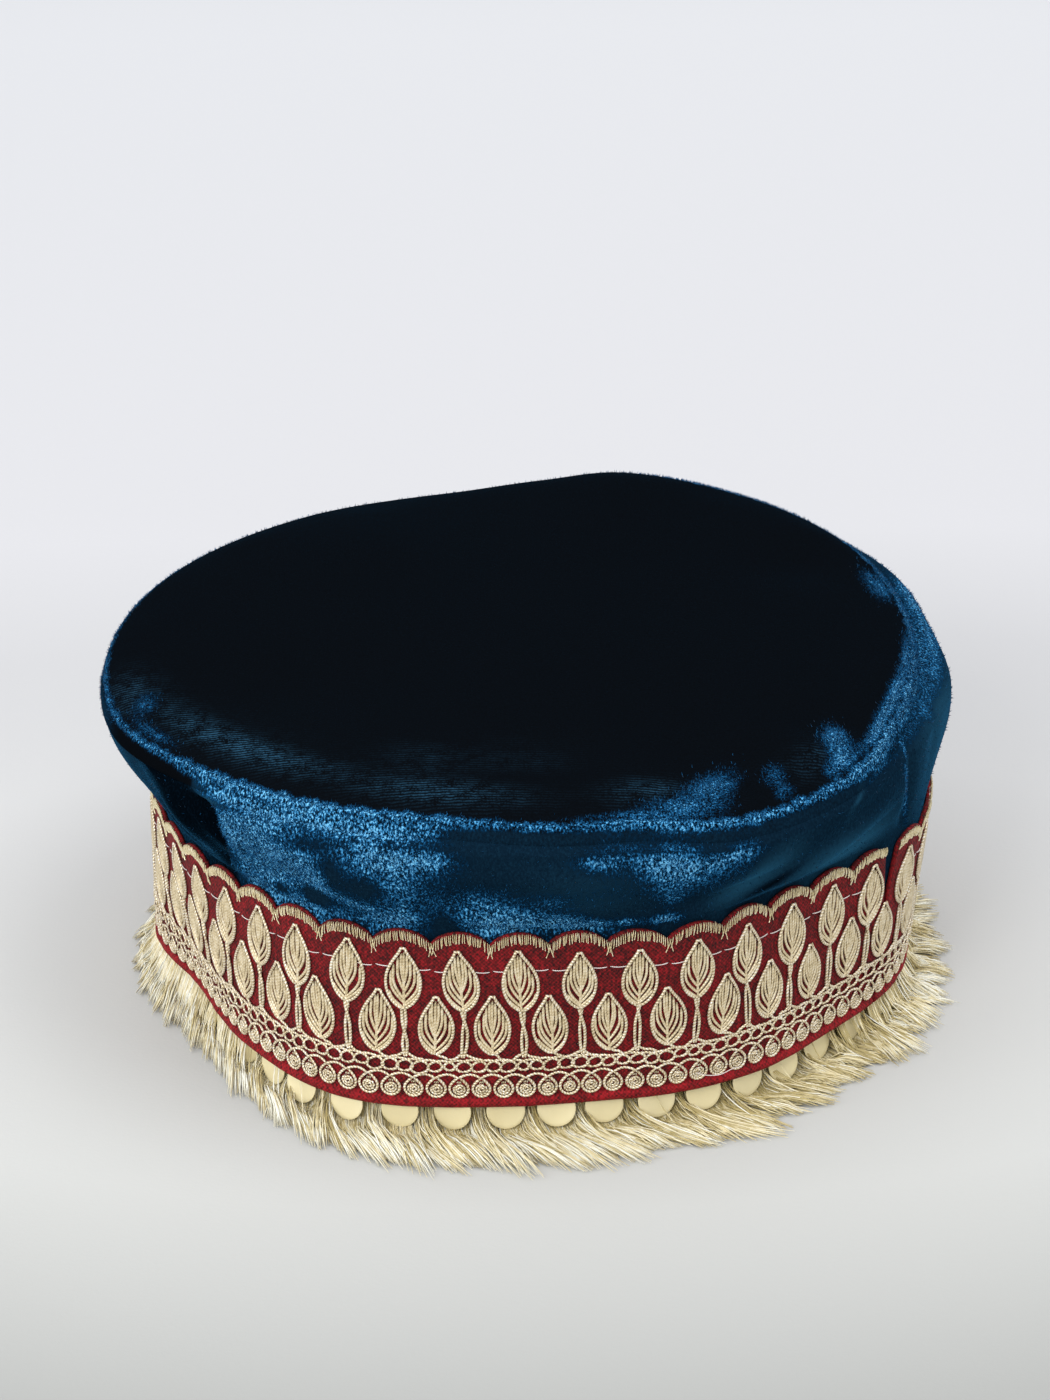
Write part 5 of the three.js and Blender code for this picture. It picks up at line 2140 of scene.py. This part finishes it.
@dataclass
class Studio:
    """The table, the light and the camera, in metres and degrees, with the lens in millimetres."""

    table_half: float = 6.0
    camera_distance: float = 0.9
    camera_height_angle: float = 28.3
    camera_roll: float = 1.1
    aim_up: float = 3.43
    aim_left: float = 0.19
    lens: float = 93.0
    hem_z: float = 0.008

    def build(self) -> None:
        """Make the table, the light and the camera."""
        self._table()
        self._lights()
        self._camera()
        bpy.context.scene.view_settings.view_transform = "Standard"

    def _table(self) -> None:
        """Make the table's cloth, far larger than the view and just under the fringe."""
        corners = self.table_half / MM * np.array([(-1, -1, 0), (1, -1, 0), (1, 1, 0), (-1, 1, 0)])
        finish = TableCloth().material("cotton_sheet")
        cloth = Surface(corners, np.array([[0, 1, 2, 3]])).piece("table_cloth", finish)
        cloth.location.z = -0.2 * MM

    def _lights(self) -> None:
        """Make a pale room, a soft window and a reflector at the left, and a lamp over the right."""
        world = bpy.data.worlds.new("pale_room")
        world.use_nodes = True
        back = world.node_tree.nodes["Background"]
        back.inputs["Color"].default_value = linear("#ecedf0")
        back.inputs["Strength"].default_value = 1.28
        bpy.context.scene.world = world
        self._area("window", (-0.65, -1.3, 1.05), 0.6, 9.2)
        self._area("ceiling", (0.6, -0.3, 1.6), 0.8, 6.0)
        self._area("reflector", (-0.95, -0.5, 0.4), 0.45, 2.2)

    def _area(self, name: str, place_at: tuple[float, float, float], size: float, power: float) -> None:
        """Make a square lamp that faces the cap.

        Args:
            name: Its name.
            place_at: Where it is, metres.
            size: Its side, metres.
            power: Watts.
        """
        lamp = bpy.data.lights.new(name, "AREA")
        lamp.size = size
        lamp.energy = power
        made = bpy.data.objects.new(name, lamp)
        made.location = place_at
        made.rotation_euler = (-Vector(place_at)).to_track_quat("-Z", "Y").to_euler()
        bpy.context.scene.collection.objects.link(made)

    def _camera(self) -> None:
        """Make the camera, a little above the cap and turned a little clockwise."""
        lens = bpy.data.cameras.new("camera")
        lens.sensor_fit = "VERTICAL"
        lens.sensor_height = 36.0
        lens.lens = self.lens
        made = bpy.data.objects.new("camera", lens)
        lean, roll, up, left = (
            math.radians(turn)
            for turn in (90.0 - self.camera_height_angle, self.camera_roll, self.aim_up, self.aim_left)
        )
        turned = Matrix.Rotation(lean, 3, "X") @ Matrix.Rotation(-roll, 3, "Z")
        made.matrix_world = (turned @ Euler((up, left, 0)).to_matrix()).to_4x4()
        made.location = Vector((0, 0, self.hem_z)) + turned.col[2] * self.camera_distance
        bpy.context.scene.collection.objects.link(made)
        bpy.context.scene.camera = made


def main() -> None:
    """Build the cap piece by piece, then the studio."""
    logging.basicConfig(level=logging.INFO, format="%(name)s: %(message)s")
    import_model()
    form = CapForm()
    for part in (VelvetCrown, RedTrim, ZariWork, RunningStitch, SpangleRows, ThreadFringe):
        for piece in part(form).build():
            LOG.info("%s: %d faces", piece.name, len(piece.data.polygons))
    Studio().build()
    bpy.context.view_layer.update()


if __name__ == "__main__":
    main()
